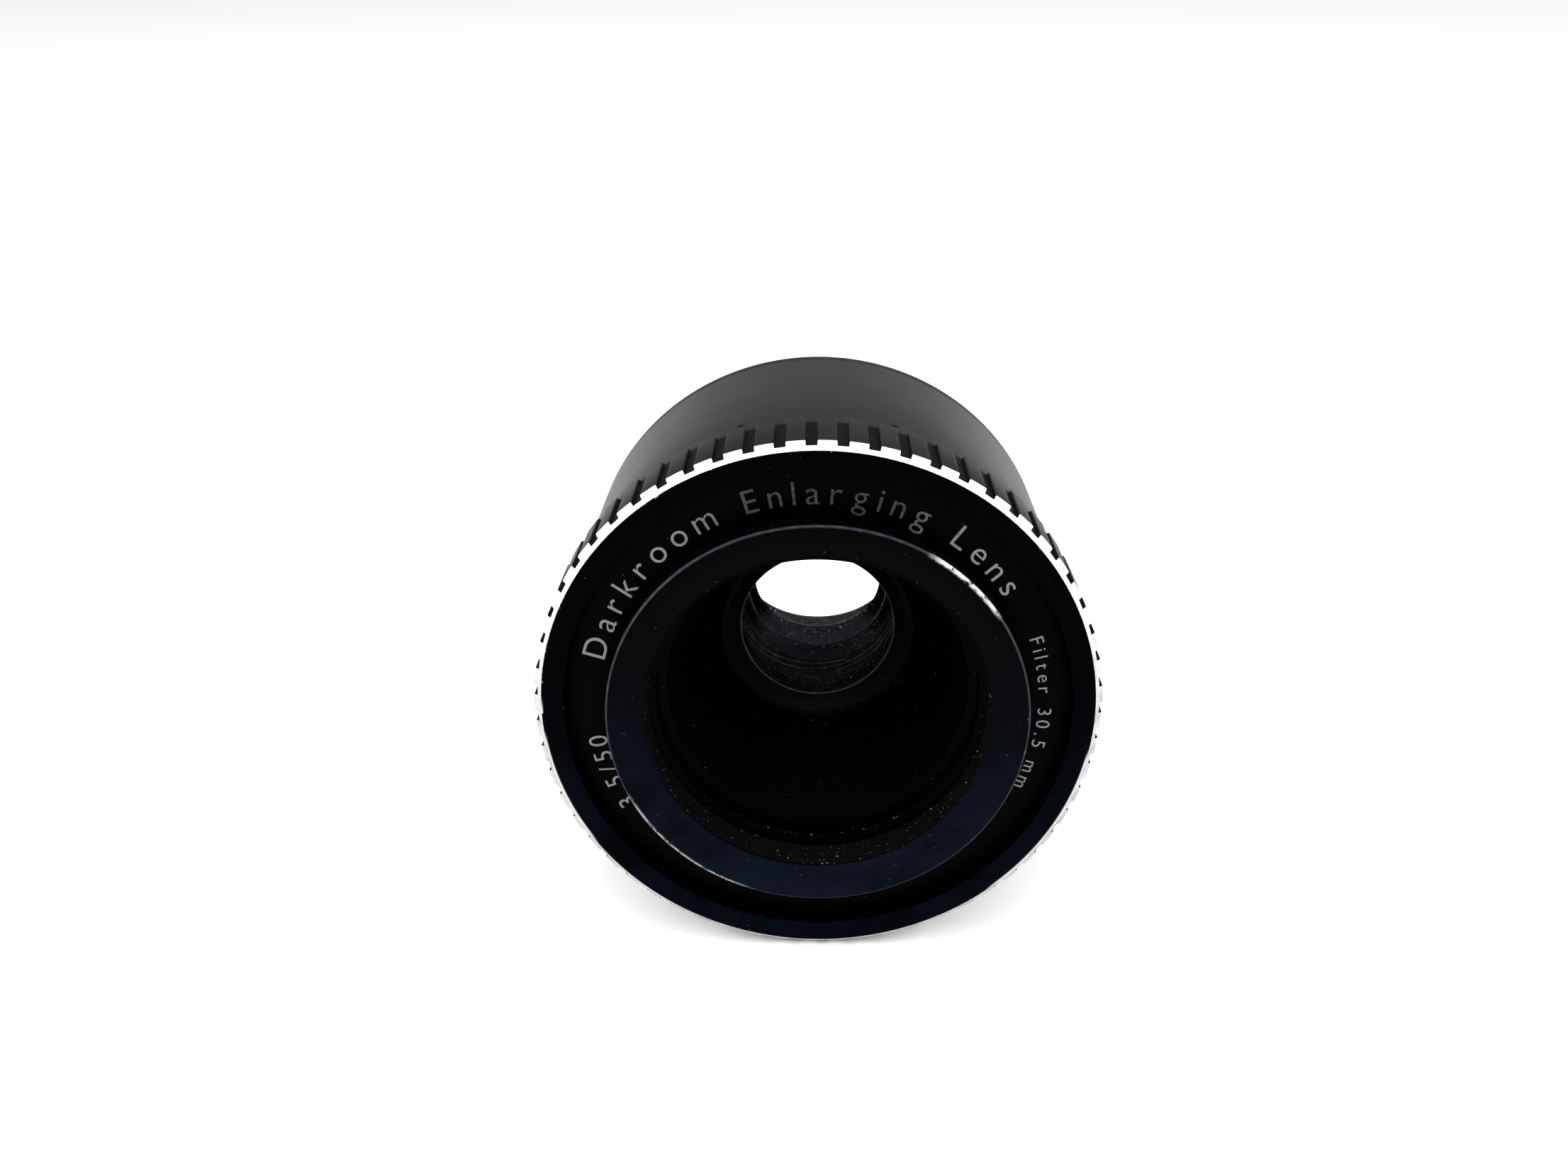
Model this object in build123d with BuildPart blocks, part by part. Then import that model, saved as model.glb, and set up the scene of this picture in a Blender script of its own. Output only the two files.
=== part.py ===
from build123d import *
from math import asin, atan2, copysign, cos, degrees, hypot, radians, sin, sqrt, tan
import os

os.makedirs("parts", exist_ok=True)

# Enlarger lens, 50 mm f/3.5, in millimetres, lying on its side.
# The optical axis is the Y axis, the front looks towards -Y and +Z is up.
# The origin is the centre of the mounting shoulder, the face that rests on the lens board.
# A station is a place along Y, so stations in front of the shoulder are negative.
# Angles about the axis are read from the front, counterclockwise from +X.

# ---- clearances ----
running = 0.05  # radial gap of a turning fit
seat = 0.02  # radial gap of a fixed fit
end_play = 0.1  # gap along the axis between turning and fixed faces
bezel_gap = 0.1  # gap between the name ring and the aperture ring around it

# ---- outside ----
rim_to_shoulder = 31.0
barrel_radius = 23.7
barrel_wall = 1.7
barrel_edge = 0.3
ring_rise = 1.05  # the aperture ring stands this much proud of the barrel
ring_length = 8.3
ring_wall = 2.65
ring_gap = 1.0  # dark joint between the aperture ring and the barrel
rim_bevel_radial = 0.65
rim_bevel_axial = 0.6

# ---- ribs of the aperture ring ----
rib_count = 60
rib_groove_width = 0.98
rib_groove_depth = 0.35
rib_groove_round = 0.2
rib_start_angle = 91.0
ribbed_length = 6.5
band_bevel = 0.25

# ---- collar, trough and funnel ----
collar_radius = 18.3
collar_rise = 1.75
collar_bevel = 0.25
trough_depth = 1.3
name_ring_thickness = 0.6
filter_thread_radius = 15.0
filter_thread_end = 3.0  # behind the rim plane
mouth_bevel_radial = 1.0
mouth_bevel_axial = 0.7
funnel_step_radius = 14.4
funnel_step_depth = 2.0
funnel_throat_radius = 13.6
hood_wall = 2.0
hood_flange_thickness = 0.8

# ---- aperture ring drive ----
lip_width = 1.8
lip_thickness = 0.8
neck_wall = 1.45
sleeve_gap = 0.5
sleeve_wall = 0.85
sleeve_flange_thickness = 0.6
washer_thickness = 0.15
sleeve_screw_radius = 0.55
sleeve_screw_head_radius = 0.9
sleeve_screw_count = 3
drive_pin_radius = 0.8
drive_tip_radius = 0.42
drive_head_radius = 1.3
drive_head_height = 0.4
stop_gap = 0.25

# ---- click stop ----
ball_radius = 0.85
ball_stand_out = 0.2
ball_hole_gap = 0.05
track_depth = 0.35
track_half_width = 0.9
ball_from_ring_rear = 2.3
click_spring_thickness = 0.2
click_spring_half_width = 1.0
click_spring_arc = 50
f_numbers = (3.5, 4, 5.6, 8, 11, 16)

# ---- glass ----
focal_length = 50.0
front_vertex_y = -14.4
crown_edge_radius = 8.6
crown_front_curve = 16.3
crown_rear_curve = -200.0
crown_thickness = 3.4
spacer_thickness = 0.28
flint_edge_radius = crown_edge_radius - 0.6
spacer_opening = flint_edge_radius - 0.7
flint_front_curve = -30.0
flint_rear_curve = 15.8
flint_thickness = 1.0
flint_rear_opening = flint_edge_radius - 1.0
rear_edge_radius = 7.6
rear_front_curve = -75.0
cement_curve = 15.5
rear_back_curve = -24.0
rear_flint_thickness = 1.0
rear_crown_thickness = 4.0
cement_gap = 0.01
retainer_opening = crown_edge_radius - 1.1
retainer_thread_radius = crown_edge_radius + 0.7
retainer_length = 1.5
retainer_cone_radial = 1.5
retainer_cone_axial = 1.0
glass_lip = 0.25

# ---- iris ----
blade_count = 5
iris_opening = 7.5  # radius of the blades' inner edge when they are wide open
blade_half_width = 2.25
blade_span = 141.0  # angle from the pivot pin to the drive pin
blade_thickness = 0.06
blade_tilt = 4.0  # each blade climbs from its pivot to its drive pin, over the next blade's pivot
blade_tilt_turn = 5.0
blade_room = 0.3
blade_top_room = 0.13
blade_pin_radius = 0.45
blade_ratio = 0.5  # blade turn for each degree of ring turn
plate_thickness = 0.6
actuator_thickness = 0.8
cover_thickness = 0.4
plate_gap = 0.1
housing_room = 0.3
slot_clearance = 0.06
notch_depth = 1.4

# ---- inner tube, rear cell and mount ----
socket_wall = 2.2
web_thickness = 1.5
waist_radius = 14.2
rear_land_start = -8.2
rear_land_length = 1.7
iris_wall = 2.7
tube_shoulder_radius = 16.8
spigot_radius = 14.6
spigot_length = 2.0
cell_thread_radius = 13.0
cell_lip_thickness = 0.4
cell_lip_opening = 7.0
cell_flange_radius = 14.2
cell_flange_thickness = 0.8
cell_hood_end = 9.0
cell_hood_radius = 10.6
rear_retainer_radius = 8.6
rear_retainer_length = 0.75
flange_thickness = 1.5
flange_bevel = 0.4
mount_thread_radius = 19.5  # M39 x 26 turns to the inch
mount_thread_length = 5.0
mount_thread_wall = 2.4
mount_thread_bevel = 0.4
lock_ring_width = 2.2
lock_ring_thickness = 1.2
spanner_slot = 1.2
rear_rim_thickness = 1.7
flange_screw_count = 3
flange_screw_radius = 0.8
flange_screw_head_radius = 1.4
flange_screw_length = 3.0
flange_screw_start_angle = 30.0

# ---- small marks on the barrel ----
dimple_radius = 0.35
dimple_depth = 0.5
dimple_spread = 16.5  # either side of the top
mark_setback = 1.3
index_radius = 0.55
index_angle = 250.0

# ---- values that follow from the sizes above ----
rim_y = -rim_to_shoulder
collar_y = rim_y - collar_rise
floor_y = rim_y + trough_depth
name_back_y = floor_y + name_ring_thickness
hood_flange_back_y = name_back_y + hood_flange_thickness
ring_rear_y = rim_y + ring_length
barrel_front_y = ring_rear_y + ring_gap
ribs_end_y = rim_y + ribbed_length
lip_front_y = name_back_y + end_play
lip_rear_y = lip_front_y + lip_thickness
sleeve_front_y = max(lip_rear_y, hood_flange_back_y + end_play)
sleeve_flange_rear_y = sleeve_front_y + sleeve_flange_thickness
washer_y = sleeve_flange_rear_y + end_play / 2
neck_front_y = washer_y + washer_thickness + end_play / 2
track_y = ring_rear_y - ball_from_ring_rear

ring_radius = barrel_radius + ring_rise
band_radius = ring_radius - rib_groove_depth
rim_radius = ring_radius - rim_bevel_radial
ring_bore = ring_radius - ring_wall
lip_radius = ring_bore - lip_width
neck_radius = ring_bore - running
neck_bore = neck_radius - neck_wall
sleeve_radius = neck_bore - sleeve_gap
sleeve_bore = sleeve_radius - sleeve_wall
land_radius = sleeve_bore - running
barrel_bore = barrel_radius - barrel_wall
name_ring_radius = ring_bore - bezel_gap
hood_flange_radius = lip_radius - 3 * bezel_gap
sleeve_flange_radius = ring_bore - 1.5 * bezel_gap
sleeve_screw_circle = lip_radius + lip_width / 2
skirt_radius = filter_thread_radius + hood_wall
socket_radius = skirt_radius + seat
ball_centre_radius = ring_bore + ball_stand_out - ball_radius


def sag(curve, height):
    """How far a sphere of this radius falls back from its vertex at a height off the axis."""
    return curve - copysign(sqrt(curve**2 - height**2), curve)


crown_rear_y = front_vertex_y + crown_thickness
spacer_front_y = crown_rear_y + sag(crown_rear_curve, spacer_opening) + seat
spacer_rear_y = spacer_front_y + spacer_thickness
flint_vertex_y = spacer_rear_y - sag(flint_front_curve, flint_edge_radius)
flint_rear_y = flint_vertex_y + flint_thickness
glass_lip_y = flint_rear_y + sag(flint_rear_curve, flint_rear_opening) + seat
base_front_y = glass_lip_y + glass_lip
retainer_rear_y = front_vertex_y + sag(crown_front_curve, retainer_opening) - seat
retainer_front_y = retainer_rear_y - retainer_length
hood_end_y = retainer_front_y - plate_gap
funnel_end_radius = retainer_thread_radius + seat

blade_arc_radius = iris_opening + blade_half_width
blade_reach = 2 * blade_arc_radius * sin(radians(blade_span / 2))
blade_climb = tan(radians(blade_tilt))
blade_rise = blade_climb * blade_reach
base_rear_y = base_front_y + plate_thickness
pivot_y = base_rear_y + blade_room
blade_top_y = pivot_y + blade_rise + blade_climb * blade_half_width + blade_thickness
actuator_front_y = blade_top_y + blade_top_room
actuator_mid_y = actuator_front_y + actuator_thickness / 2
cover_front_y = actuator_front_y + actuator_thickness + plate_gap
cavity_rear_y = cover_front_y + cover_thickness + seat
cavity_radius = iris_opening + 2 * blade_half_width + housing_room

smallest_opening = focal_length / f_numbers[-1] / 2
blade_turn = 2 * degrees(asin((iris_opening - smallest_opening) / (2 * blade_arc_radius)))
ring_travel = blade_turn / blade_ratio
slot_end_room = degrees(asin((drive_pin_radius + stop_gap) / cavity_radius))
drive_screw_turn = ring_travel + slot_end_room

cell_lip_rear_y = cavity_rear_y + seat + cell_lip_thickness
rear_edge_y = cell_lip_rear_y + seat
rear_vertex_y = rear_edge_y - sag(rear_front_curve, rear_edge_radius)
cement_y = rear_vertex_y + rear_flint_thickness
back_vertex_y = cement_y + cement_gap + rear_crown_thickness
back_edge_y = back_vertex_y + sag(rear_back_curve, rear_edge_radius)
rear_retainer_opening = rear_edge_radius - 0.6
rear_retainer_y = back_vertex_y + sag(rear_back_curve, rear_retainer_opening) + seat
flange_front_y = -flange_thickness
sleeve_rear_y = flange_front_y - 2 * end_play
flange_screw_circle = (barrel_radius + neck_bore) / 2

front_axis = Axis((0, 0, 0), (0, -1, 0))


def section(*points):
    """Half section of a turned piece: points are (station, radius)."""
    with BuildSketch(Plane.YZ) as half:
        with BuildLine():
            Polyline(*points, close=True)
        make_face()
    return half.sketch


def glass_section(front_y, front_curve, front_height, rear_y, rear_curve, rear_height, edge):
    """Half section of a lens: two polished curves, flat bevels out to the edge, and the edge."""
    front_edge_y = front_y + sag(front_curve, front_height)
    rear_face_edge_y = rear_y + sag(rear_curve, rear_height)
    front_mid = (front_y + sag(front_curve, front_height / 2), front_height / 2)
    rear_mid = (rear_y + sag(rear_curve, rear_height / 2), rear_height / 2)
    with BuildSketch(Plane.YZ) as half:
        with BuildLine():
            ThreePointArc((front_y, 0), front_mid, (front_edge_y, front_height))
            if edge > front_height:
                Line((front_edge_y, front_height), (front_edge_y, edge))
            Line((front_edge_y, edge), (rear_face_edge_y, edge))
            if edge > rear_height:
                Line((rear_face_edge_y, edge), (rear_face_edge_y, rear_height))
            ThreePointArc((rear_face_edge_y, rear_height), rear_mid, (rear_y, 0))
            Line((rear_y, 0), (front_y, 0))
        make_face()
    return half.sketch


def drive_pin_place(blade_angle):
    """Where a blade's drive pin stands in the actuator, once the blade has turned by this angle."""
    heading = radians(90 + blade_span / 2 + blade_angle)
    x = blade_arc_radius + blade_reach * cos(heading)
    z = blade_reach * sin(heading)
    turned = atan2(z, x) - radians(blade_angle / blade_ratio)
    return hypot(x, z) * cos(turned), hypot(x, z) * sin(turned)


# ---- barrel: smooth shell with the neck that the aperture ring turns on ----
with BuildPart() as outer_barrel:
    revolve(
        section(
            (neck_front_y, neck_bore),
            (neck_front_y, neck_radius),
            (barrel_front_y, neck_radius),
            (barrel_front_y, barrel_radius - barrel_edge),
            (barrel_front_y + barrel_edge, barrel_radius),
            (flange_front_y, barrel_radius),
            (flange_front_y, neck_bore),
            (flange_front_y - rear_rim_thickness, neck_bore),
            (flange_front_y - rear_rim_thickness, barrel_bore),
            (barrel_front_y + barrel_wall, barrel_bore),
            (barrel_front_y + barrel_wall, neck_bore),
        ),
        axis=Axis.Y,
    )
    # hole for the click ball, at the bottom of the neck
    with BuildSketch(Plane.XY.offset(-ring_bore)):
        with Locations((0, track_y)):
            Circle(ball_radius + ball_hole_gap)
    extrude(amount=2 * neck_wall, mode=Mode.SUBTRACT)
    # two spanner dimples either side of the top, and the recess of the index dot
    for angle in (90 - dimple_spread, 90 + dimple_spread):
        floor = barrel_radius - dimple_depth
        direction = (cos(radians(angle)), 0, sin(radians(angle)))
        place = (floor * direction[0], barrel_front_y + mark_setback, floor * direction[2])
        with BuildSketch(Plane(origin=place, z_dir=direction)):
            Circle(dimple_radius)
        extrude(amount=2 * dimple_depth, mode=Mode.SUBTRACT)
    index_direction = (cos(radians(index_angle)), 0, sin(radians(index_angle)))
    index_place = (
        (barrel_radius - dimple_depth) * index_direction[0],
        barrel_front_y + mark_setback,
        (barrel_radius - dimple_depth) * index_direction[2],
    )
    with BuildSketch(Plane(origin=index_place, z_dir=index_direction)):
        Circle(index_radius + seat)
    extrude(amount=2 * dimple_depth, mode=Mode.SUBTRACT)
    # threaded holes of the flange screws
    with BuildSketch(Plane.XZ.offset(-flange_front_y)):
        with PolarLocations(flange_screw_circle, flange_screw_count, flange_screw_start_angle):
            Circle(flange_screw_radius + seat)
    extrude(amount=flange_screw_length, mode=Mode.SUBTRACT)
outer_barrel.part.label = "outer_barrel"
export_step(outer_barrel.part, "parts/outer_barrel.step")

# ---- index dot: a paint-filled plug that the aperture scale is read against ----
with BuildPart() as index_dot:
    with BuildSketch(Plane(origin=index_place, z_dir=index_direction)):
        Circle(index_radius)
    extrude(amount=dimple_depth)
index_dot.part.label = "index_dot"
export_step(index_dot.part, "parts/index_dot.step")

# ---- aperture ring: ribbed, with the bare front bevel and the wall of the trough ----
with BuildPart() as aperture_ring:
    revolve(
        section(
            (rim_y, ring_bore),
            (rim_y, rim_radius),
            (rim_y + rim_bevel_axial, ring_radius),
            (ribs_end_y - band_bevel, ring_radius),
            (ribs_end_y, band_radius),
            (ring_rear_y - band_bevel, band_radius),
            (ring_rear_y, band_radius - band_bevel),
            (ring_rear_y, ring_bore),
            (track_y + track_half_width, ring_bore),
            (track_y + track_half_width, ring_bore + track_depth),
            (track_y - track_half_width, ring_bore + track_depth),
            (track_y - track_half_width, ring_bore),
            (lip_rear_y, ring_bore),
            (lip_rear_y, lip_radius),
            (lip_front_y, lip_radius),
            (lip_front_y, ring_bore),
        ),
        axis=Axis.Y,
    )
    groove_height = rib_groove_depth + ring_rise
    with BuildSketch(Plane.XZ.offset(-ribs_end_y)):
        with PolarLocations(band_radius + groove_height / 2, rib_count, rib_start_angle):
            RectangleRounded(groove_height, rib_groove_width, rib_groove_round)
    extrude(amount=ribbed_length + rim_bevel_axial, mode=Mode.SUBTRACT)
    # one click dimple for each f-number, in the ball track
    for f_number in f_numbers:
        opening = min(focal_length / f_number / 2, iris_opening)
        dimple_turn = 2 * degrees(asin((iris_opening - opening) / (2 * blade_arc_radius)))
        dimple_angle = radians(270 - dimple_turn / blade_ratio)
        reach = ball_centre_radius + track_depth
        with Locations((reach * cos(dimple_angle), track_y, reach * sin(dimple_angle))):
            Sphere(ball_radius, mode=Mode.SUBTRACT)
    # clearance holes of the sleeve screws
    with BuildSketch(Plane.XZ.offset(-lip_rear_y)):
        with PolarLocations(sleeve_screw_circle, sleeve_screw_count):
            Circle(sleeve_screw_radius + seat)
    extrude(amount=lip_thickness, mode=Mode.SUBTRACT)
    with BuildSketch(Plane.XZ.offset(-lip_front_y)):
        with PolarLocations(sleeve_screw_circle, sleeve_screw_count):
            Circle(sleeve_screw_head_radius)
    extrude(amount=-lip_thickness / 2, mode=Mode.SUBTRACT)
aperture_ring.part.label = "aperture_ring"
export_step(aperture_ring.part, "parts/aperture_ring.step")

# ---- drive sleeve: takes the aperture ring's turn back to the iris ----
with BuildPart() as drive_sleeve:
    revolve(
        section(
            (sleeve_front_y, sleeve_bore),
            (sleeve_front_y, sleeve_flange_radius),
            (sleeve_flange_rear_y, sleeve_flange_radius),
            (sleeve_flange_rear_y, sleeve_radius),
            (sleeve_rear_y, sleeve_radius),
            (sleeve_rear_y, sleeve_bore),
        ),
        axis=Axis.Y,
    )
    with BuildSketch(Plane.XZ.offset(-sleeve_flange_rear_y)):
        with PolarLocations(sleeve_screw_circle, sleeve_screw_count):
            Circle(sleeve_screw_radius + seat)
    extrude(amount=sleeve_flange_thickness, mode=Mode.SUBTRACT)
    drive_direction = (sin(radians(drive_screw_turn)), 0, cos(radians(drive_screw_turn)))
    with BuildSketch(Plane(origin=(0, actuator_mid_y, 0), z_dir=drive_direction)):
        Circle(drive_pin_radius + seat)
    extrude(amount=2 * sleeve_radius, mode=Mode.SUBTRACT)
    head_floor = sqrt(sleeve_radius**2 - drive_head_radius**2) - drive_head_height
    head_place = (head_floor * drive_direction[0], actuator_mid_y, head_floor * drive_direction[2])
    with BuildSketch(Plane(origin=head_place, z_dir=drive_direction)):
        Circle(drive_head_radius + seat)
    extrude(amount=sleeve_radius, mode=Mode.SUBTRACT)
drive_sleeve.part.label = "drive_sleeve"
export_step(drive_sleeve.part, "parts/drive_sleeve.step")

# ---- screws that hold the sleeve behind the ring's lip ----
with BuildPart() as sleeve_screws:
    with BuildSketch(Plane.XZ.offset(-sleeve_flange_rear_y)):
        with PolarLocations(sleeve_screw_circle, sleeve_screw_count):
            Circle(sleeve_screw_radius)
    extrude(amount=sleeve_flange_rear_y - lip_front_y)
    with BuildSketch(Plane.XZ.offset(-lip_front_y)):
        with PolarLocations(sleeve_screw_circle, sleeve_screw_count):
            Circle(sleeve_screw_head_radius - seat)
    extrude(amount=seat - lip_thickness / 2)
sleeve_screws.part.label = "sleeve_screws"
export_step(sleeve_screws.part, "parts/sleeve_screws.step")

# ---- drive screw: shank through the tube's slot, turned-down tip in the actuator's notch ----
with BuildPart() as drive_screw:
    tip_start = cavity_radius - notch_depth + 2 * seat
    shank_start = cavity_radius + seat
    tip_place = (tip_start * drive_direction[0], actuator_mid_y, tip_start * drive_direction[2])
    with BuildSketch(Plane(origin=tip_place, z_dir=drive_direction)):
        Circle(drive_tip_radius)
    extrude(amount=head_floor - tip_start)
    shank_place = (shank_start * drive_direction[0], actuator_mid_y, shank_start * drive_direction[2])
    with BuildSketch(Plane(origin=shank_place, z_dir=drive_direction)):
        Circle(drive_pin_radius)
    extrude(amount=head_floor - shank_start + drive_head_height)
    with BuildSketch(Plane(origin=head_place, z_dir=drive_direction)):
        Circle(drive_head_radius)
    extrude(amount=drive_head_height)
drive_screw.part.label = "drive_screw"
export_step(drive_screw.part, "parts/drive_screw.step")

# ---- wave washer: takes up the ring's play along the axis ----
with BuildPart() as wave_washer:
    revolve(
        section(
            (washer_y, neck_bore + sleeve_gap / 2),
            (washer_y, sleeve_flange_radius - end_play),
            (washer_y + washer_thickness, sleeve_flange_radius - end_play),
            (washer_y + washer_thickness, neck_bore + sleeve_gap / 2),
        ),
        axis=Axis.Y,
    )
wave_washer.part.label = "wave_washer"
export_step(wave_washer.part, "parts/wave_washer.step")

# ---- click ball and the leaf spring that presses it out into the ring's track ----
with BuildPart() as click_ball:
    with Locations((0, track_y, -ball_centre_radius)):
        Sphere(ball_radius)
click_ball.part.label = "click_ball"
export_step(click_ball.part, "parts/click_ball.step")

with BuildPart() as click_spring:
    spring_top = neck_bore - running
    spring_floor = spring_top - click_spring_thickness
    with BuildSketch(Plane.XZ.offset(click_spring_half_width - track_y)):
        with BuildLine():
            start = 270 - click_spring_arc / 2
            CenterArc((0, 0), spring_top, start, click_spring_arc)
            CenterArc((0, 0), spring_floor, start, click_spring_arc)
            for side in (start, start + click_spring_arc):
                Line(
                    (spring_floor * cos(radians(side)), spring_floor * sin(radians(side))),
                    (spring_top * cos(radians(side)), spring_top * sin(radians(side))),
                )
        make_face()
    extrude(amount=-2 * click_spring_half_width)
click_spring.part.label = "click_spring"
export_step(click_spring.part, "parts/click_spring.step")

# ---- hood: collar, filter thread and black funnel in one turned piece ----
with BuildPart() as front_hood:
    thread_end_y = rim_y + filter_thread_end
    step_end_y = thread_end_y + funnel_step_depth
    mouth_radius = filter_thread_radius + mouth_bevel_radial
    revolve(
        section(
            (collar_y, mouth_radius),
            (collar_y, collar_radius - collar_bevel),
            (collar_y + collar_bevel, collar_radius),
            (name_back_y, collar_radius),
            (name_back_y, hood_flange_radius),
            (hood_flange_back_y, hood_flange_radius),
            (hood_flange_back_y, skirt_radius),
            (hood_end_y, skirt_radius),
            (hood_end_y, funnel_end_radius),
            (step_end_y, funnel_throat_radius),
            (step_end_y, funnel_step_radius),
            (thread_end_y, funnel_step_radius),
            (thread_end_y, filter_thread_radius),
            (collar_y + mouth_bevel_axial, filter_thread_radius),
        ),
        axis=Axis.Y,
    )
front_hood.part.label = "front_hood"
export_step(front_hood.part, "parts/front_hood.step")

# ---- name ring: floor of the trough ----
with BuildPart() as name_ring:
    revolve(
        section(
            (floor_y, collar_radius + seat),
            (floor_y, name_ring_radius),
            (name_back_y, name_ring_radius),
            (name_back_y, collar_radius + seat),
        ),
        axis=Axis.Y,
    )
name_ring.part.label = "name_ring"
export_step(name_ring.part, "parts/name_ring.step")

# ---- lens tube: carries the hood, the glass, the iris and the mount ----
with BuildPart() as lens_tube:
    web_rear_y = hood_end_y + web_thickness
    rear_land_end = rear_land_start + rear_land_length
    iris_zone_radius = cavity_radius + iris_wall
    spacer_bore = crown_edge_radius + seat
    flint_bore = flint_edge_radius + seat
    shoulder_start_y = cavity_rear_y
    revolve(
        section(
            (hood_flange_back_y, socket_radius),
            (hood_flange_back_y, land_radius),
            (web_rear_y, land_radius),
            (web_rear_y, waist_radius),
            (rear_land_start, waist_radius),
            (rear_land_start, land_radius),
            (rear_land_end, land_radius),
            (rear_land_end, iris_zone_radius),
            (shoulder_start_y, iris_zone_radius),
            (shoulder_start_y, tube_shoulder_radius),
            (flange_front_y, tube_shoulder_radius),
            (flange_front_y, spigot_radius),
            (spigot_length, spigot_radius),
            (spigot_length, cell_thread_radius),
            (cavity_rear_y, cell_thread_radius),
            (cavity_rear_y, cavity_radius),
            (base_front_y, cavity_radius),
            (base_front_y, flint_rear_opening + seat),
            (glass_lip_y, flint_rear_opening + seat),
            (glass_lip_y, flint_bore),
            (spacer_rear_y, flint_bore),
            (spacer_rear_y, spacer_bore),
            (retainer_rear_y + seat, spacer_bore),
            (retainer_rear_y + seat, retainer_thread_radius),
            (hood_end_y, retainer_thread_radius),
            (hood_end_y, socket_radius),
        ),
        axis=Axis.Y,
    )
    # slot that the drive screw runs in; its ends stop the aperture ring
    slot_half = drive_pin_radius + end_play
    revolve(
        section(
            (actuator_mid_y - slot_half, cavity_radius - housing_room),
            (actuator_mid_y - slot_half, iris_zone_radius + housing_room),
            (actuator_mid_y + slot_half, iris_zone_radius + housing_room),
            (actuator_mid_y + slot_half, cavity_radius - housing_room),
        ),
        axis=Axis.Y,
        revolution_arc=ring_travel + 2 * slot_end_room,
        mode=Mode.SUBTRACT,
    )
lens_tube.part.label = "lens_tube"
export_step(lens_tube.part, "parts/lens_tube.step")

# ---- front retainer: threaded ring with a small cone, over the front glass ----
with BuildPart() as front_retainer:
    revolve(
        section(
            (retainer_front_y, retainer_opening + retainer_cone_radial),
            (retainer_front_y, retainer_thread_radius - seat),
            (retainer_rear_y, retainer_thread_radius - seat),
            (retainer_rear_y, retainer_opening),
            (retainer_front_y + retainer_cone_axial, retainer_opening),
        ),
        axis=Axis.Y,
    )
front_retainer.part.label = "front_retainer"
export_step(front_retainer.part, "parts/front_retainer.step")

# ---- front glass: a crown meniscus close to plano-convex ----
with BuildPart() as front_element:
    revolve(
        glass_section(
            front_vertex_y,
            crown_front_curve,
            crown_edge_radius,
            crown_rear_y,
            crown_rear_curve,
            crown_edge_radius,
            crown_edge_radius,
        ),
        axis=Axis.Y,
    )
front_element.part.label = "front_element"
export_step(front_element.part, "parts/front_element.step")

# ---- spacer between the first two glasses ----
with BuildPart() as spacer_ring:
    revolve(
        section(
            (spacer_front_y, spacer_opening),
            (spacer_front_y, crown_edge_radius),
            (spacer_rear_y - seat, crown_edge_radius),
            (spacer_rear_y - seat, spacer_opening),
        ),
        axis=Axis.Y,
    )
spacer_ring.part.label = "spacer_ring"
export_step(spacer_ring.part, "parts/spacer_ring.step")

# ---- middle glass: a biconcave flint ----
with BuildPart() as middle_element:
    revolve(
        glass_section(
            flint_vertex_y,
            flint_front_curve,
            flint_edge_radius,
            flint_rear_y,
            flint_rear_curve,
            flint_rear_opening,
            flint_edge_radius,
        ),
        axis=Axis.Y,
    )
middle_element.part.label = "middle_element"
export_step(middle_element.part, "parts/middle_element.step")

# ---- iris base: fixed plate with the blades' pivot holes ----
with BuildPart() as iris_base:
    with BuildSketch(Plane.XZ.offset(-base_rear_y)):
        Circle(cavity_radius - seat)
        Circle(iris_opening + running, mode=Mode.SUBTRACT)
        with PolarLocations(blade_arc_radius, blade_count):
            Circle(blade_pin_radius + running, mode=Mode.SUBTRACT)
    extrude(amount=plate_thickness - seat)
iris_base.part.label = "iris_base"
export_step(iris_base.part, "parts/iris_base.step")

# ---- iris actuator: turns with the ring; each blade's drive pin runs in one of its slots ----
with BuildSketch() as drive_slot:
    slot_steps = 8
    with Locations([drive_pin_place(blade_turn * step / slot_steps) for step in range(slot_steps + 1)]):
        Circle(blade_pin_radius + slot_clearance)
    make_hull()

with BuildPart() as iris_actuator:
    with BuildSketch(Plane.XZ.offset(-actuator_front_y - actuator_thickness)):
        Circle(cavity_radius - running)
        Circle(iris_opening + running, mode=Mode.SUBTRACT)
        for index in range(blade_count):
            turn = index * 360 / blade_count
            add(drive_slot.sketch, rotation=turn, mode=Mode.SUBTRACT)
        with PolarLocations(cavity_radius, 1, 90 - drive_screw_turn):
            Rectangle(2 * notch_depth, 2 * (drive_tip_radius + seat), mode=Mode.SUBTRACT)
    extrude(amount=actuator_thickness)
iris_actuator.part.label = "iris_actuator"
export_step(iris_actuator.part, "parts/iris_actuator.step")

# ---- iris cover: fixed plate behind the actuator ----
with BuildPart() as iris_cover:
    with BuildSketch(Plane.XZ.offset(-cover_front_y - cover_thickness)):
        Circle(cavity_radius - seat)
        Circle(iris_opening + running, mode=Mode.SUBTRACT)
    extrude(amount=cover_thickness)
iris_cover.part.label = "iris_cover"
export_step(iris_cover.part, "parts/iris_cover.step")

# ---- iris blades: thin crescents, each tilted so that it climbs over the next blade's pivot ----
climb_heading = radians(90 + blade_span / 2 + blade_tilt_turn)
blade_normal = (
    -blade_climb * cos(climb_heading),
    1,
    -blade_climb * sin(climb_heading),
)
pin_x, pin_z = drive_pin_place(0)
pin_rise = blade_climb * (
    (pin_x - blade_arc_radius) * cos(climb_heading) + pin_z * sin(climb_heading)
)

with BuildLine() as blade_spine:
    CenterArc((0, 0), blade_arc_radius, 0, blade_span)

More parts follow.
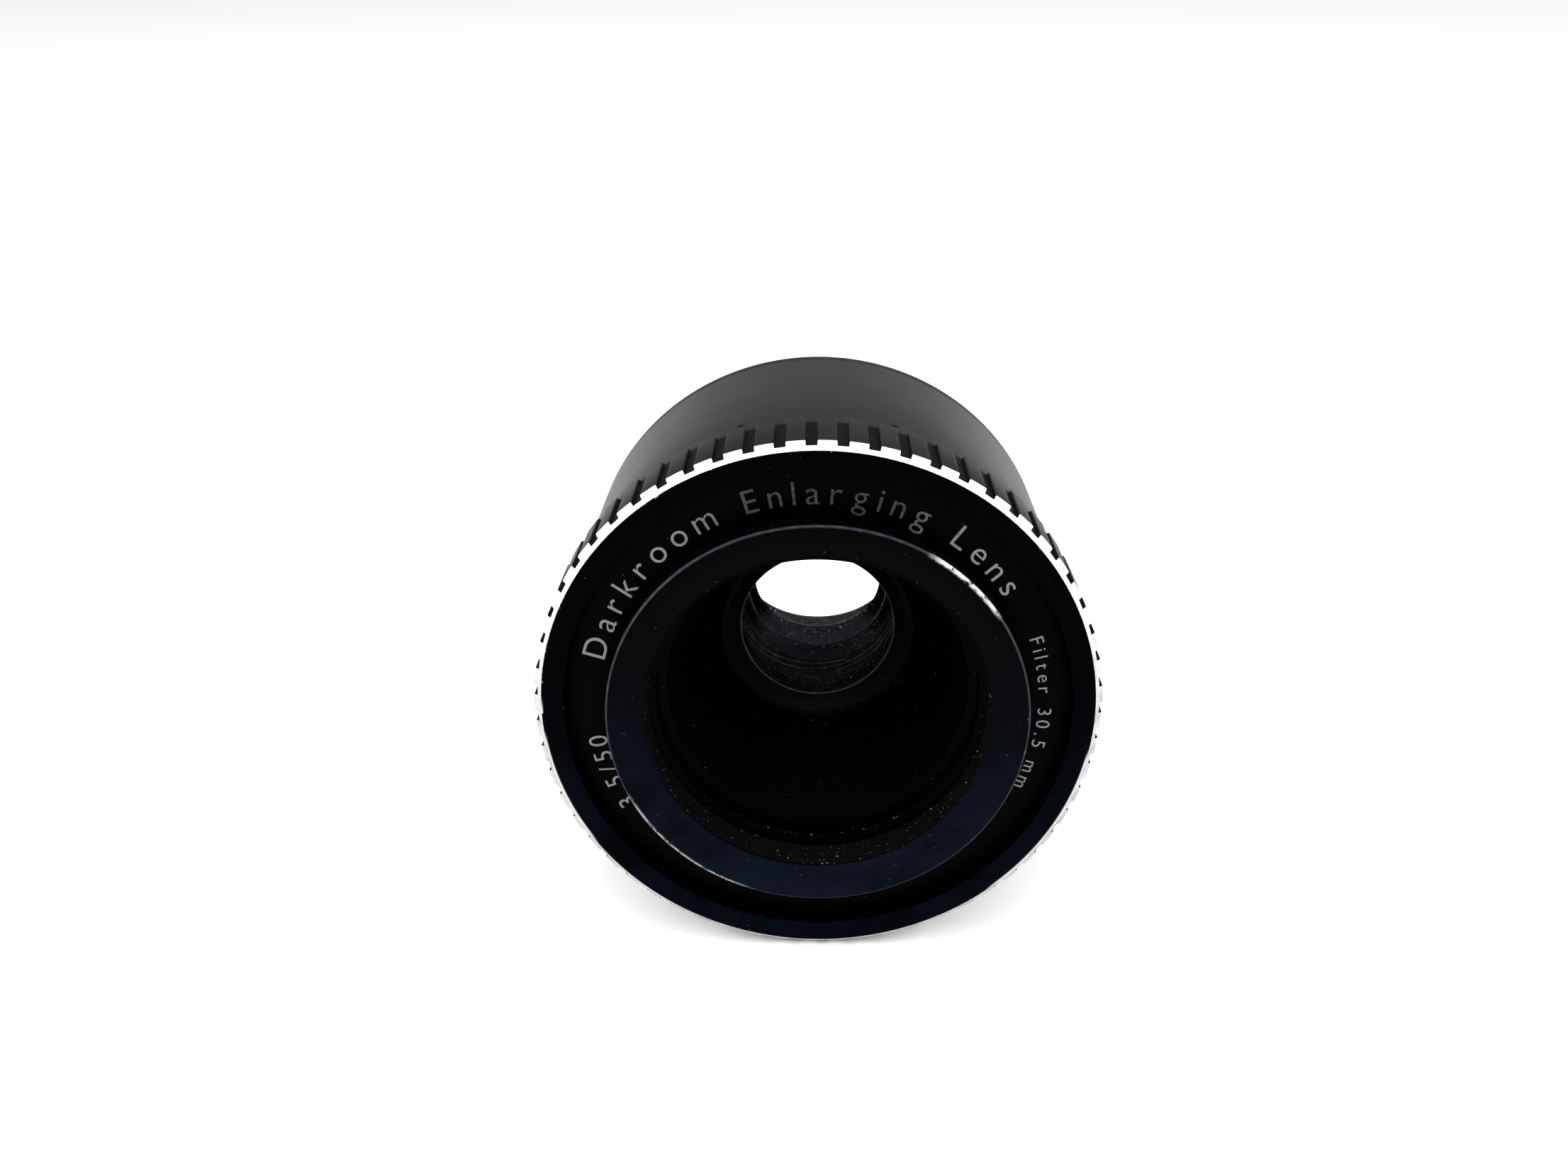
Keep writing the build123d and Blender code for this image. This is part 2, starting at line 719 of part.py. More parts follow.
with BuildPart() as blade_sheet:
    with BuildSketch(Plane(origin=(blade_arc_radius, pivot_y, 0), z_dir=blade_normal)):
        Circle(3 * cavity_radius)
    extrude(amount=blade_thickness / 2, both=True)

with BuildPart() as blade_form:
    with BuildSketch(Plane.XZ.offset(-blade_top_y)):
        SlotArc(blade_spine.edges()[0], 2 * blade_half_width)
    extrude(amount=blade_top_y - base_rear_y)
    add(blade_sheet.part, mode=Mode.INTERSECT)
    # pivot pin, forward into the base
    with BuildSketch(Plane.XZ.offset(-pivot_y)):
        with Locations((blade_arc_radius, 0)):
            Circle(blade_pin_radius)
    extrude(amount=pivot_y - base_front_y - plate_gap)
    # drive pin, rearward into the actuator's slot
    with BuildSketch(Plane.XZ.offset(-pivot_y - pin_rise)):
        with Locations((pin_x, pin_z)):
            Circle(blade_pin_radius)
    extrude(amount=pivot_y + pin_rise - actuator_front_y - actuator_thickness)

for index in range(blade_count):
    with BuildPart() as iris_blade:
        add(blade_form.part.rotate(front_axis, index * 360 / blade_count))
    iris_blade.part.label = f"iris_blade_{index + 1}"
    export_step(iris_blade.part, f"parts/iris_blade_{index + 1}.step")

# ---- rear cell: screws into the tube, holds the cemented pair, presses the iris cover home ----
with BuildPart() as rear_cell:
    glass_bore = rear_edge_radius + seat
    flange_start_y = spigot_length + seat
    flange_end_y = flange_start_y + cell_flange_thickness
    retainer_bore = rear_retainer_radius + seat
    retainer_seat_y = rear_retainer_y - seat
    revolve(
        section(
            (cavity_rear_y + seat, cell_lip_opening),
            (cavity_rear_y + seat, cell_thread_radius - seat),
            (flange_start_y, cell_thread_radius - seat),
            (flange_start_y, cell_flange_radius),
            (flange_end_y, cell_flange_radius),
            (flange_end_y, cell_hood_radius),
            (cell_hood_end, cell_hood_radius),
            (cell_hood_end, retainer_bore + 2 * bezel_gap),
            (retainer_seat_y + rear_retainer_length, retainer_bore),
            (retainer_seat_y, retainer_bore),
            (retainer_seat_y, glass_bore),
            (cell_lip_rear_y, glass_bore),
            (cell_lip_rear_y, cell_lip_opening),
        ),
        axis=Axis.Y,
    )
rear_cell.part.label = "rear_cell"
export_step(rear_cell.part, "parts/rear_cell.step")

# ---- cemented pair: flint in front, crown behind ----
with BuildPart() as rear_flint_element:
    revolve(
        glass_section(
            rear_vertex_y,
            rear_front_curve,
            rear_edge_radius,
            cement_y,
            cement_curve,
            rear_edge_radius,
            rear_edge_radius,
        ),
        axis=Axis.Y,
    )
rear_flint_element.part.label = "rear_flint_element"
export_step(rear_flint_element.part, "parts/rear_flint_element.step")

with BuildPart() as rear_crown_element:
    revolve(
        glass_section(
            cement_y + cement_gap,
            cement_curve,
            rear_edge_radius,
            back_vertex_y,
            rear_back_curve,
            rear_edge_radius,
            rear_edge_radius,
        ),
        axis=Axis.Y,
    )
rear_crown_element.part.label = "rear_crown_element"
export_step(rear_crown_element.part, "parts/rear_crown_element.step")

# ---- rear retainer: threaded ring behind the cemented pair, with two spanner slots ----
with BuildPart() as rear_retainer:
    revolve(
        section(
            (rear_retainer_y, rear_retainer_opening),
            (rear_retainer_y, rear_retainer_radius),
            (rear_retainer_y + rear_retainer_length, rear_retainer_radius),
            (rear_retainer_y + rear_retainer_length, rear_retainer_opening + 2 * bezel_gap),
        ),
        axis=Axis.Y,
    )
    with BuildSketch(Plane.XZ.offset(-rear_retainer_y - rear_retainer_length)):
        Rectangle(4 * rear_retainer_radius, spanner_slot)
    extrude(amount=rear_retainer_length / 2, mode=Mode.SUBTRACT)
rear_retainer.part.label = "rear_retainer"
export_step(rear_retainer.part, "parts/rear_retainer.step")

# ---- mount flange: closes the barrel's rear and carries the mount thread ----
with BuildPart() as mount_flange:
    thread_bore = mount_thread_radius - mount_thread_wall
    revolve(
        section(
            (flange_front_y, spigot_radius + seat),
            (flange_front_y, barrel_radius),
            (-flange_bevel, barrel_radius),
            (0, barrel_radius - flange_bevel),
            (0, mount_thread_radius),
            (mount_thread_length - mount_thread_bevel, mount_thread_radius),
            (mount_thread_length, mount_thread_radius - mount_thread_bevel),
            (mount_thread_length, thread_bore),
            (0, thread_bore),
            (0, spigot_radius + seat),
        ),
        axis=Axis.Y,
    )
    with BuildSketch(Plane.XZ):
        with PolarLocations(flange_screw_circle, flange_screw_count, flange_screw_start_angle):
            Circle(flange_screw_radius + seat)
    extrude(amount=flange_thickness, mode=Mode.SUBTRACT)
    with BuildSketch(Plane.XZ):
        with PolarLocations(flange_screw_circle, flange_screw_count, flange_screw_start_angle):
            Circle(flange_screw_head_radius + seat)
    extrude(amount=flange_thickness / 2, mode=Mode.SUBTRACT)
mount_flange.part.label = "mount_flange"
export_step(mount_flange.part, "parts/mount_flange.step")

# ---- screws that hold the mount flange on the barrel ----
with BuildPart() as flange_screws:
    with BuildSketch(Plane.XZ.offset(end_play)):
        with PolarLocations(flange_screw_circle, flange_screw_count, flange_screw_start_angle):
            Circle(flange_screw_head_radius)
    extrude(amount=flange_thickness / 2 - end_play)
    with BuildSketch(Plane.XZ.offset(flange_thickness / 2)):
        with PolarLocations(flange_screw_circle, flange_screw_count, flange_screw_start_angle):
            Circle(flange_screw_radius)
    extrude(amount=flange_screw_length)
    # driver slots
    with BuildSketch(Plane.XZ.offset(end_play)):
        with PolarLocations(flange_screw_circle, flange_screw_count, flange_screw_start_angle):
            Rectangle(3 * flange_screw_head_radius, flange_screw_radius / 2)
    extrude(amount=flange_thickness / 4, mode=Mode.SUBTRACT)
flange_screws.part.label = "flange_screws"
export_step(flange_screws.part, "parts/flange_screws.step")

# ---- lock ring: holds the mount flange against the tube's shoulder ----
with BuildPart() as flange_lock_ring:
    revolve(
        section(
            (seat, spigot_radius + seat),
            (seat, spigot_radius + lock_ring_width),
            (lock_ring_thickness, spigot_radius + lock_ring_width),
            (lock_ring_thickness, spigot_radius + seat),
        ),
        axis=Axis.Y,
    )
    with BuildSketch(Plane.XZ.offset(-lock_ring_thickness)):
        Rectangle(4 * spigot_radius, spanner_slot)
    extrude(amount=lock_ring_thickness / 2, mode=Mode.SUBTRACT)
flange_lock_ring.part.label = "flange_lock_ring"
export_step(flange_lock_ring.part, "parts/flange_lock_ring.step")
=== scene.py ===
# %% [markdown]
# Enlarger lens, lying on its side. The imported model is the fixed frame: every piece below is placed from it.

# %% Load the frame
import math

import bmesh
import bpy
from mathutils import Matrix, Vector


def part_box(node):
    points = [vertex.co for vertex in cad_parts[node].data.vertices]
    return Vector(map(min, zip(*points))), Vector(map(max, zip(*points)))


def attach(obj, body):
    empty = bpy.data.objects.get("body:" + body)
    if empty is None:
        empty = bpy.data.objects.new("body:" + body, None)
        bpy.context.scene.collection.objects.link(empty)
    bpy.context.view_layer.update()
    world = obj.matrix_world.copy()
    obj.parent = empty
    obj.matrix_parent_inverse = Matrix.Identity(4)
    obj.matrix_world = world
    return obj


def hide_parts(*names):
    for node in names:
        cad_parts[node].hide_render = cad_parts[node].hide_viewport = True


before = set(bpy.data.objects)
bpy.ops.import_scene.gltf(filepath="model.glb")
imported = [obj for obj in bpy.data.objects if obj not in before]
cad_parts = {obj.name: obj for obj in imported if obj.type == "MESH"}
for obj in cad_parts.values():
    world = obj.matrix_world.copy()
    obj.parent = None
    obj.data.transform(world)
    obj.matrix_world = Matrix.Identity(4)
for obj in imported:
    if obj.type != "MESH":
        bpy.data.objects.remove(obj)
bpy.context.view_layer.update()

MM = 0.001


# %% [markdown]
# All the turned pieces share one axis, Y, and their ends are stations along it. The stations and radii come from
# the boxes of the frame's own nodes, read here once in millimetres, so a new size in the frame moves the looks too.

# %% Read the sizes of the frame
def span(node):
    """Front station, rear station and outer radius of a turned node, in millimetres."""
    low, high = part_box(node)
    return low.y / MM, high.y / MM, (high.x - low.x) / 2 / MM


ring_front, ring_rear, ring_radius = span("aperture_ring")
barrel_neck, barrel_rear, barrel_radius = span("outer_barrel")
hood_front, hood_rear, hood_flange = span("front_hood")
plate_front, plate_rear, plate_radius = span("name_ring")
flange_front, thread_end, flange_radius = span("mount_flange")
retainer_front, retainer_rear, retainer_radius = span("front_retainer")
print("ring", round(ring_radius, 2), "barrel", round(barrel_radius, 2), "front", round(ring_front, 2))

# %% [markdown]
# The camera looks down at the lens from close in front, about twelve centimetres from the rim. It is placed by its
# position and its three directions, so nothing has to be aimed, and its focal length suits the near distance.

# %% Camera
SENSOR_WIDTH = 36.0
FOCAL_LENGTH = 32.55
CAMERA_DISTANCE = 108.21  # in front of the ring's front face
CAMERA_HEIGHT = 60.15  # above the axis
camera_data = bpy.data.cameras.new("camera")
camera_data.sensor_width = SENSOR_WIDTH
camera_data.lens = FOCAL_LENGTH
camera_data.clip_start = 0.005
camera = bpy.data.objects.new("camera", camera_data)
bpy.context.scene.collection.objects.link(camera)
camera_right = Vector((0.99972, 0.02206, -0.00828))
camera_up = Vector((-0.0014, 0.40647, 0.91366))
camera_back = camera_right.cross(camera_up)
turn = Matrix((camera_right, camera_up, camera_back)).transposed().to_4x4()
camera_place = Vector((0, ring_front - CAMERA_DISTANCE, CAMERA_HEIGHT)) * MM
camera.matrix_world = Matrix.Translation(camera_place) @ turn
bpy.context.scene.camera = camera
print("camera at", [round(c, 4) for c in camera.location])

# %% [markdown]
# The floor is one pale sheet that touches the lens where a real table would: under the ribs of the aperture ring
# and under the rear edge of the barrel, which is a little smaller, so the sheet is tilted by that difference.

# %% Floor
FLOOR_SIZE = 40.0  # metres
FLOOR_GAP = 0.02
RIM_BEVEL_ALONG = 0.6  # the ring's front bevel, along the axis
tilt = math.atan2(ring_radius - flange_radius, -(ring_front + RIM_BEVEL_ALONG))
bpy.ops.object.select_all(action="DESELECT")
bpy.ops.mesh.primitive_grid_add(x_subdivisions=2, y_subdivisions=2, size=FLOOR_SIZE)
floor = bpy.context.object
floor.name = "floor"
drop = Matrix.Translation(Vector((0, 0, -flange_radius - FLOOR_GAP)) * MM)
floor.data.transform(drop @ Matrix.Rotation(tilt, 4, "X"))
print("floor tilted by", round(math.degrees(tilt), 2), "degrees")

# %% [markdown]
# Almost everything here was made on a lathe, so one helper does the same: it starts from a small plane merged to a
# point, extrudes that point along the half section, and spins the outline about the axis. A closed outline makes a
# ring; an outline that starts and ends on the axis makes a solid glass. Loose edges merge and normals turn outward.

# %% Lathe
FULL_TURN = 2 * math.pi
TURNING_AXIS = (0, 1, 0)
WELD = 2e-7


def start_editing(piece):
    """Only this piece is selected and in edit mode, with nothing in it selected."""
    bpy.ops.object.select_all(action="DESELECT")
    piece.select_set(True)
    bpy.context.view_layer.objects.active = piece
    bpy.ops.object.mode_set(mode="EDIT")
    bpy.ops.mesh.select_mode(type="VERT")
    bpy.ops.mesh.select_all(action="DESELECT")


def weld(piece):
    """Merge doubled points, face outward and leave edit mode."""
    bpy.ops.mesh.select_all(action="SELECT")
    bpy.ops.mesh.remove_doubles(threshold=WELD)
    bpy.ops.mesh.dissolve_degenerate(threshold=WELD)
    bpy.ops.mesh.normals_make_consistent(inside=False)
    bpy.ops.object.mode_set(mode="OBJECT")


def drawn_outline(name, outline, closed):
    """An outline of edges, drawn point by point from a plane merged to one point; ends in edit mode."""
    bpy.ops.object.select_all(action="DESELECT")
    bpy.ops.mesh.primitive_plane_add(size=MM)
    piece = bpy.context.object
    piece.name = name
    bpy.ops.object.mode_set(mode="EDIT")
    bpy.ops.mesh.select_mode(type="VERT")
    bpy.ops.mesh.select_all(action="SELECT")
    bpy.ops.mesh.merge(type="CENTER")
    points = [Vector((0, station, radius)) * MM for station, radius in outline]
    bpy.ops.transform.translate(value=points[0])
    if closed:
        points.append(points[0])
    for before, after in zip(points, points[1:]):
        bpy.ops.mesh.extrude_region_move(TRANSFORM_OT_translate={"value": after - before})
    bpy.ops.mesh.select_all(action="SELECT")
    bpy.ops.mesh.remove_doubles(threshold=WELD)
    return piece


def turned(name, outline, steps=240, closed=True):
    """A turned piece; the outline is a row of (station, radius) in millimetres."""
    piece = drawn_outline(name, outline, closed)
    bpy.ops.mesh.spin(steps=steps, angle=FULL_TURN, center=(0, 0, 0), axis=TURNING_AXIS)
    weld(piece)
    return piece


def apply_modifier(piece, kind, **settings):
    """Add a modifier, set it and apply it."""
    bpy.ops.object.select_all(action="DESELECT")
    piece.select_set(True)
    bpy.context.view_layer.objects.active = piece
    modifier = piece.modifiers.new(kind.lower(), kind)
    for key, value in settings.items():
        setattr(modifier, key, value)
    bpy.ops.object.modifier_apply(modifier=modifier.name)


def finish_edges(piece, width=0.06, sharp=28):
    """Break the sharp edges by a small round, as a machinist does, and smooth what is left."""
    if width:
        apply_modifier(
            piece,
            "BEVEL",
            width=width * MM,
            segments=2,
            limit_method="ANGLE",
            angle_limit=math.radians(sharp),
            use_clamp_overlap=True,
        )
    bpy.ops.object.select_all(action="DESELECT")
    piece.select_set(True)
    bpy.context.view_layer.objects.active = piece
    bpy.ops.object.shade_smooth_by_angle(angle=math.radians(sharp + 4))


def place_piece(piece, body, slot, *nodes):
    """Let a piece ride on its body and stand for its nodes; the slot is not used."""
    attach(piece, body)
    if nodes:
        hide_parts(*nodes)
    print(piece.name, "has", len(piece.data.polygons), "faces")


# %% [markdown]
# A finish is built as a small network of nodes. The class below wraps one output of a node, so that masks can be
# written as ordinary sums and products, and one method makes any other node from its type, settings and inputs.

# %% Shader arithmetic
class Signal:
    """One output of a shader node, with arithmetic."""

    def __init__(self, tree, output):
        self.tree = tree
        self.output = output

    def make(self, kind, settings=None, **inputs):
        """A node of this kind in the same tree; inputs are values or other signals."""
        node = self.tree.nodes.new(kind)
        for key, value in (settings or {}).items():
            setattr(node, key, value)
        for key, value in inputs.items():
            socket = node.inputs[int(key[1:]) if key[1:].isdigit() else key.replace("_", " ")]
            if isinstance(value, Signal):
                self.tree.links.new(value.output, socket)
            else:
                socket.default_value = value
        return Signal(self.tree, node.outputs[0])

    def maths(self, operation, first, second=0.0):
        return self.make("ShaderNodeMath", {"operation": operation}, i0=first, i1=second)

    def __add__(self, other):
        return self.maths("ADD", self, other)

    def __radd__(self, other):
        return self.maths("ADD", other, self)

    def __sub__(self, other):
        return self.maths("SUBTRACT", self, other)

    def __rsub__(self, other):
        return self.maths("SUBTRACT", other, self)

    def __mul__(self, other):
        return self.maths("MULTIPLY", self, other)

    def __rmul__(self, other):
        return self.maths("MULTIPLY", other, self)

    def rise(self, low, high):
        """0 below low, 1 above high, smooth between; swapped limits give a fall."""
        return self.make(
            "ShaderNodeMapRange",
            {"interpolation_type": "SMOOTHSTEP"},
            i0=self, i1=low, i2=high, i3=0.0, i4=1.0,
        )

    def grain(self, size, detail=3.0, rough=0.6, vector=None):
        """Noise with features of about this size, in millimetres."""
        return self.make(
            "ShaderNodeTexNoise",
            Vector=vector or self, Scale=1 / (size * MM), Detail=detail, Roughness=rough,
        )

    def blend(self, first, second):
        """Colour between two colours, by this signal."""
        mix = self.tree.nodes.new("ShaderNodeMix")
        mix.data_type = "RGBA"
        self.tree.links.new(self.output, mix.inputs[0])
        for socket, colour in ((mix.inputs[6], first), (mix.inputs[7], second)):
            if isinstance(colour, Signal):
                self.tree.links.new(colour.output, socket)
            else:
                socket.default_value = (*colour, 1.0)
        return Signal(self.tree, mix.outputs[2])


print("signals ready")

# %% [markdown]
# Anodised metal wears through to bare metal, so one shader is rarely enough. A layer is one Principled shader with
# its constants, and a finish is a material that starts with one layer and lays others over it, each where its mask
# is 1. The masks read the distance from a turned edge, the station, the radius and the angle round the axis.

# %% Layers and finishes
class Layer:
    """One Principled shader and what drives it."""

    def __init__(self, tree, shader, constants):
        self.tree = tree
        self.shader = shader
        for key, value in constants.items():
            self.shader.inputs[key.replace("_", " ")].default_value = value

    def feed(self, **signals):
        """Drive the sockets that may vary over the surface."""
        for key, signal in signals.items():
            self.tree.links.new(signal.output, self.shader.inputs[key.replace("_", " ")])

    def bump(self, height, depth, strength=1.0):
        """Relief from a height signal; depth in millimetres."""
        node = self.tree.nodes.new("ShaderNodeBump")
        node.inputs["Strength"].default_value = strength
        node.inputs["Distance"].default_value = depth * MM
        self.tree.links.new(height.output, node.inputs["Height"])
        self.tree.links.new(node.outputs[0], self.shader.inputs["Normal"])


class Finish(Layer):
    """A material, the places its masks read in millimetres, and further layers over the first."""

    def __init__(self, name, **constants):
        self.material = bpy.data.materials.new(name)
        self.material.use_nodes = True
        tree = self.material.node_tree
        super().__init__(tree, tree.nodes["Principled BSDF"], constants)
        self.top = self.shader.outputs[0]
        texture = tree.nodes.new("ShaderNodeTexCoord")
        self.place = Signal(tree, texture.outputs["Object"])
        split = tree.nodes.new("ShaderNodeSeparateXYZ")
        tree.links.new(self.place.output, split.inputs[0])
        self.x, self.y, self.z = (Signal(tree, out) * (1 / MM) for out in split.outputs)
        self.radius = self.x.maths("SQRT", self.x * self.x + self.z * self.z)
        self.angle = self.x.maths("ARCTAN2", self.z, self.x) * math.degrees(1)

    def layer(self, mask, **constants):
        """Another shader that shows where the mask is 1."""
        tree = self.tree
        above = Layer(tree, tree.nodes.new("ShaderNodeBsdfPrincipled"), constants)
        mix = tree.nodes.new("ShaderNodeMixShader")
        tree.links.new(mask.output, mix.inputs[0])
        tree.links.new(self.top, mix.inputs[1])
        tree.links.new(above.shader.outputs[0], mix.inputs[2])
        self.top = mix.outputs[0]
        tree.links.new(self.top, tree.nodes["Material Output"].inputs["Surface"])
        return above

    def near_circle(self, station, radius, reach):
        """1 on a turned edge at this station and radius, 0 further off than reach."""
        across = self.radius - radius
        along = self.y - station
        gap = self.x.maths("SQRT", across * across + along * along)
        return gap.rise(reach, 0.0)

    def arc(self, start, end, soft=4.0):
        """1 between two angles, read from the front, counterclockwise from +X."""
        return self.angle.rise(start - soft, start) * self.angle.rise(end + soft, end)

    def lathe_lines(self, along, pitch):
        """Fine rings left by the cutting tool, along a radius or a station."""
        line = along.make("ShaderNodeCombineXYZ", i0=along * MM)
        return line.grain(pitch, detail=2.0, rough=0.7)

    def scratches(self, pitch, stretch):
        """Short scratches that run round the axis."""
        turns = self.place.make(
            "ShaderNodeCombineXYZ", i0=self.angle * (stretch * MM), i1=self.y * MM, i2=self.radius * MM
        )
        return turns.grain(pitch, detail=3.0, rough=0.7)


def coat(material, *pieces):
    """Give pieces, or nodes of the frame by name, one finish."""
    for piece in pieces:
        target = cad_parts[piece] if isinstance(piece, str) else piece
        if target.material_slots:
            for held in target.material_slots:
                held.material = material
        else:
            target.data.materials.append(material)


print("finish helpers ready")

# %% [markdown]
# The light is plain and soft: a white world that is dimmer low down behind the lens, so the top of the barrel
# stays dark, one broad panel above and in front, and a panel on each side. The world's dimmer part is worked out
# from the direction of the light alone.

# %% Lights
DIMMED = 0.62  # how much darker the world is low down behind the lens
LIGHT_AIM = (0, -20, 0)
SIDE_SIZE = 350
SIDE_POWER = 2.3
world = bpy.data.worlds.new("studio")
bpy.context.scene.world = world
world.use_nodes = True
bpy.context.scene.view_settings.view_transform = "Standard"
sky = world.node_tree
sky_place = Signal(sky, sky.nodes.new("ShaderNodeTexCoord").outputs["Generated"])
sky_split = sky.nodes.new("ShaderNodeSeparateXYZ")
sky.links.new(sky_place.output, sky_split.inputs[0])
behind = Signal(sky, sky_split.outputs[1]).rise(0.45, 0.90)
upward = Signal(sky, sky_split.outputs[2])
low = upward.rise(0.72, 0.40) * upward.rise(0.02, 0.12)
strength = 1.0 - behind * low * DIMMED
sky.links.new(strength.output, sky.nodes["Background"].inputs["Strength"])
sky.nodes["Background"].inputs["Color"].default_value = (1.0, 0.996, 0.99, 1)


def panel(name, place, size, power):
    """A soft square light at a place, in millimetres, facing the lens."""
    data = bpy.data.lights.new(name, "AREA")
    data.size = size * MM
    data.energy = power
    lamp = bpy.data.objects.new(name, data)
    bpy.context.scene.collection.objects.link(lamp)
    lamp.location = Vector(place) * MM
    lamp.rotation_euler = (Vector(LIGHT_AIM) - Vector(place)).to_track_quat("-Z", "Y").to_euler()


panel("light_above", (0, -480, 780), 1400, 8.5)
panel("light_left", (-480, 0, 200), SIDE_SIZE, SIDE_POWER)
panel("light_right", (480, 40, 200), SIDE_SIZE, SIDE_POWER)

# %% [markdown]
# The barrel, the ring's lands and the flange are satin anodised aluminium: dyed dark grey over a bead-blasted
# surface. The dye layer reflects weakly when looked at square on and strongly at a grazing angle, which the
# Principled shader gives by itself, so the work is in the grain: a fine bump, a slow change of colour where hands
# have polished it, and pale rubbing on the turned edges.

# %% Satin grey finish
GREY = (0.0090, 0.0090, 0.0098)
RUBBED = (0.028, 0.028, 0.030)
BARE = (0.80, 0.80, 0.79)
NECK_LENGTH = 5.65


def satin_grey(finish, layer, edges):
    """Fill a layer with grained satin grey; edges are (station, radius) of its turned corners."""
    place = finish.place
    blast = place.grain(0.09, detail=2.0)
    hands = place.grain(9.0, detail=4.0)
    smears = finish.scratches(0.35, 6.0)
    worn = place.grain(0.8, detail=5.0).rise(0.55, 0.72)
    rubbed = hands.rise(0.45, 0.75) * 0.25
    for station, radius in edges:
        rubbed = rubbed + finish.near_circle(station, radius, 0.16) * worn * 0.9
    layer.feed(
        Base_Color=rubbed.blend(GREY, RUBBED),
        Roughness=0.36 + blast * 0.10 + smears * 0.06 - rubbed * 0.05,
    )
    layer.bump(blast + smears * 0.4, 0.006, 0.5)


barrel_finish = Finish("satin_grey", Specular_IOR_Level=0.10)
satin_grey(
    barrel_finish,
    barrel_finish,
    [(barrel_neck + NECK_LENGTH, barrel_radius), (flange_front, barrel_radius), (0.0, flange_radius)],
)
print("satin grey finish has", len(barrel_finish.tree.nodes), "nodes")

# %% [markdown]
# The outer barrel is a plain shell with a thinner neck in front, on which the aperture ring turns. Its outline is
# drawn once and spun. Two small spanner dimples on top and the recess of the index dot are drilled with a Boolean,
# because a drill meeting a round wall leaves a curved edge that would be slow to draw by hand.

# %% Outer barrel
SHELL_GAP = 1.0  # the dark joint behind the aperture ring
SHELL_WALL = 1.7
SHELL_EDGE = 0.3
MARK_BAND = 0.7  # extra stations each side of the marks, so that their cuts don't streak the shell
neck_radius = 22.05
neck_bore = 20.6
shell_front = ring_rear + SHELL_GAP
shell_bore = barrel_radius - SHELL_WALL
dot_low, dot_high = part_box("index_dot")
dot_middle = (dot_low + dot_high) / 2
mark_station = dot_middle.y / MM
barrel = turned(
    "barrel_shell",
    [
        (barrel_neck, neck_bore),
        (barrel_neck, neck_radius),
        (shell_front, neck_radius),
        (shell_front, barrel_radius - SHELL_EDGE),
        (shell_front + SHELL_EDGE, barrel_radius),
        (mark_station - MARK_BAND, barrel_radius),
        (mark_station + MARK_BAND, barrel_radius),
        (barrel_rear, barrel_radius),
        (barrel_rear, neck_bore),
        (barrel_rear - SHELL_WALL, neck_bore),
        (barrel_rear - SHELL_WALL, shell_bore),
        (shell_front + SHELL_WALL, shell_bore),
        (shell_front + SHELL_WALL, neck_bore),
    ],
    steps=300,
)
print("barrel blank has", len(barrel.data.polygons), "faces")

# %% [markdown]
# A drill is a cylinder whose end face is inset to almost a point and drawn out into a cone. Each drill is laid along
# the radius where its hole goes, cuts once, and is thrown away.

# %% Marks on the barrel
DRILL_LENGTH = 3.0
DIMPLE_SPREAD = 16.5  # degrees each side of the top
DIMPLE_RADIUS = 0.35
DIMPLE_DEPTH = 0.35
INDEX_ANGLE = 250.0
INDEX_RADIUS = 0.57
INDEX_DEPTH = 0.5


def radial_drill(angle, radius, depth):
    """A drill with a conical point, standing out from the axis at an angle, with its shoulder at a depth."""
    bpy.ops.object.select_all(action="DESELECT")
    bpy.ops.mesh.primitive_cylinder_add(vertices=40, radius=radius * MM, depth=DRILL_LENGTH * MM)
    drill = bpy.context.object
    start_editing(drill)
    mesh = bmesh.from_edit_mesh(drill.data)
    for face in mesh.faces:
        face.select = face.normal.z < -0.9
    bmesh.update_edit_mesh(drill.data)
    bpy.ops.mesh.inset(thickness=radius * MM * 0.98)
    bpy.ops.transform.translate(value=(0, 0, -radius * 0.5 * MM))
    bpy.ops.object.mode_set(mode="OBJECT")
    out = Vector((math.cos(math.radians(angle)), 0, math.sin(math.radians(angle))))
    reach = barrel_radius - depth + DRILL_LENGTH / 2
    lift = Matrix.Translation(out * reach * MM + Vector((0, mark_station, 0)) * MM)
    drill.data.transform(lift @ out.to_track_quat("Z", "Y").to_matrix().to_4x4())
    return drill


def cut_with(piece, cutter):
    """Cut a piece by another, which is then removed."""
    apply_modifier(piece, "BOOLEAN", object=cutter, operation="DIFFERENCE", solver="EXACT")
    bpy.data.objects.remove(cutter)


for angle in (90 - DIMPLE_SPREAD, 90 + DIMPLE_SPREAD):
    cut_with(barrel, radial_drill(angle, DIMPLE_RADIUS, DIMPLE_DEPTH))
cut_with(barrel, radial_drill(INDEX_ANGLE, INDEX_RADIUS, INDEX_DEPTH))
finish_edges(barrel, width=0.05)
coat(barrel_finish.material, barrel)
place_piece(barrel, "body", "satin_barrel", "outer_barrel")

# %% [markdown]
# The front faces of the lens are lustreless black. A faint blue mixed into their colour low down is a painted
# reflection of the floor. They reflect almost nothing, so their shader has a low specular level and the detail is
# in fine turning lines, dust and small chips where the bright metal shows through at the corners.

# %% Black finish
INK = (0.0001, 0.0001, 0.0003)
PAINTED_BLUE_REFLECTION = (0.0016, 0.0034, 0.0085)
DUST = (0.16, 0.16, 0.15)


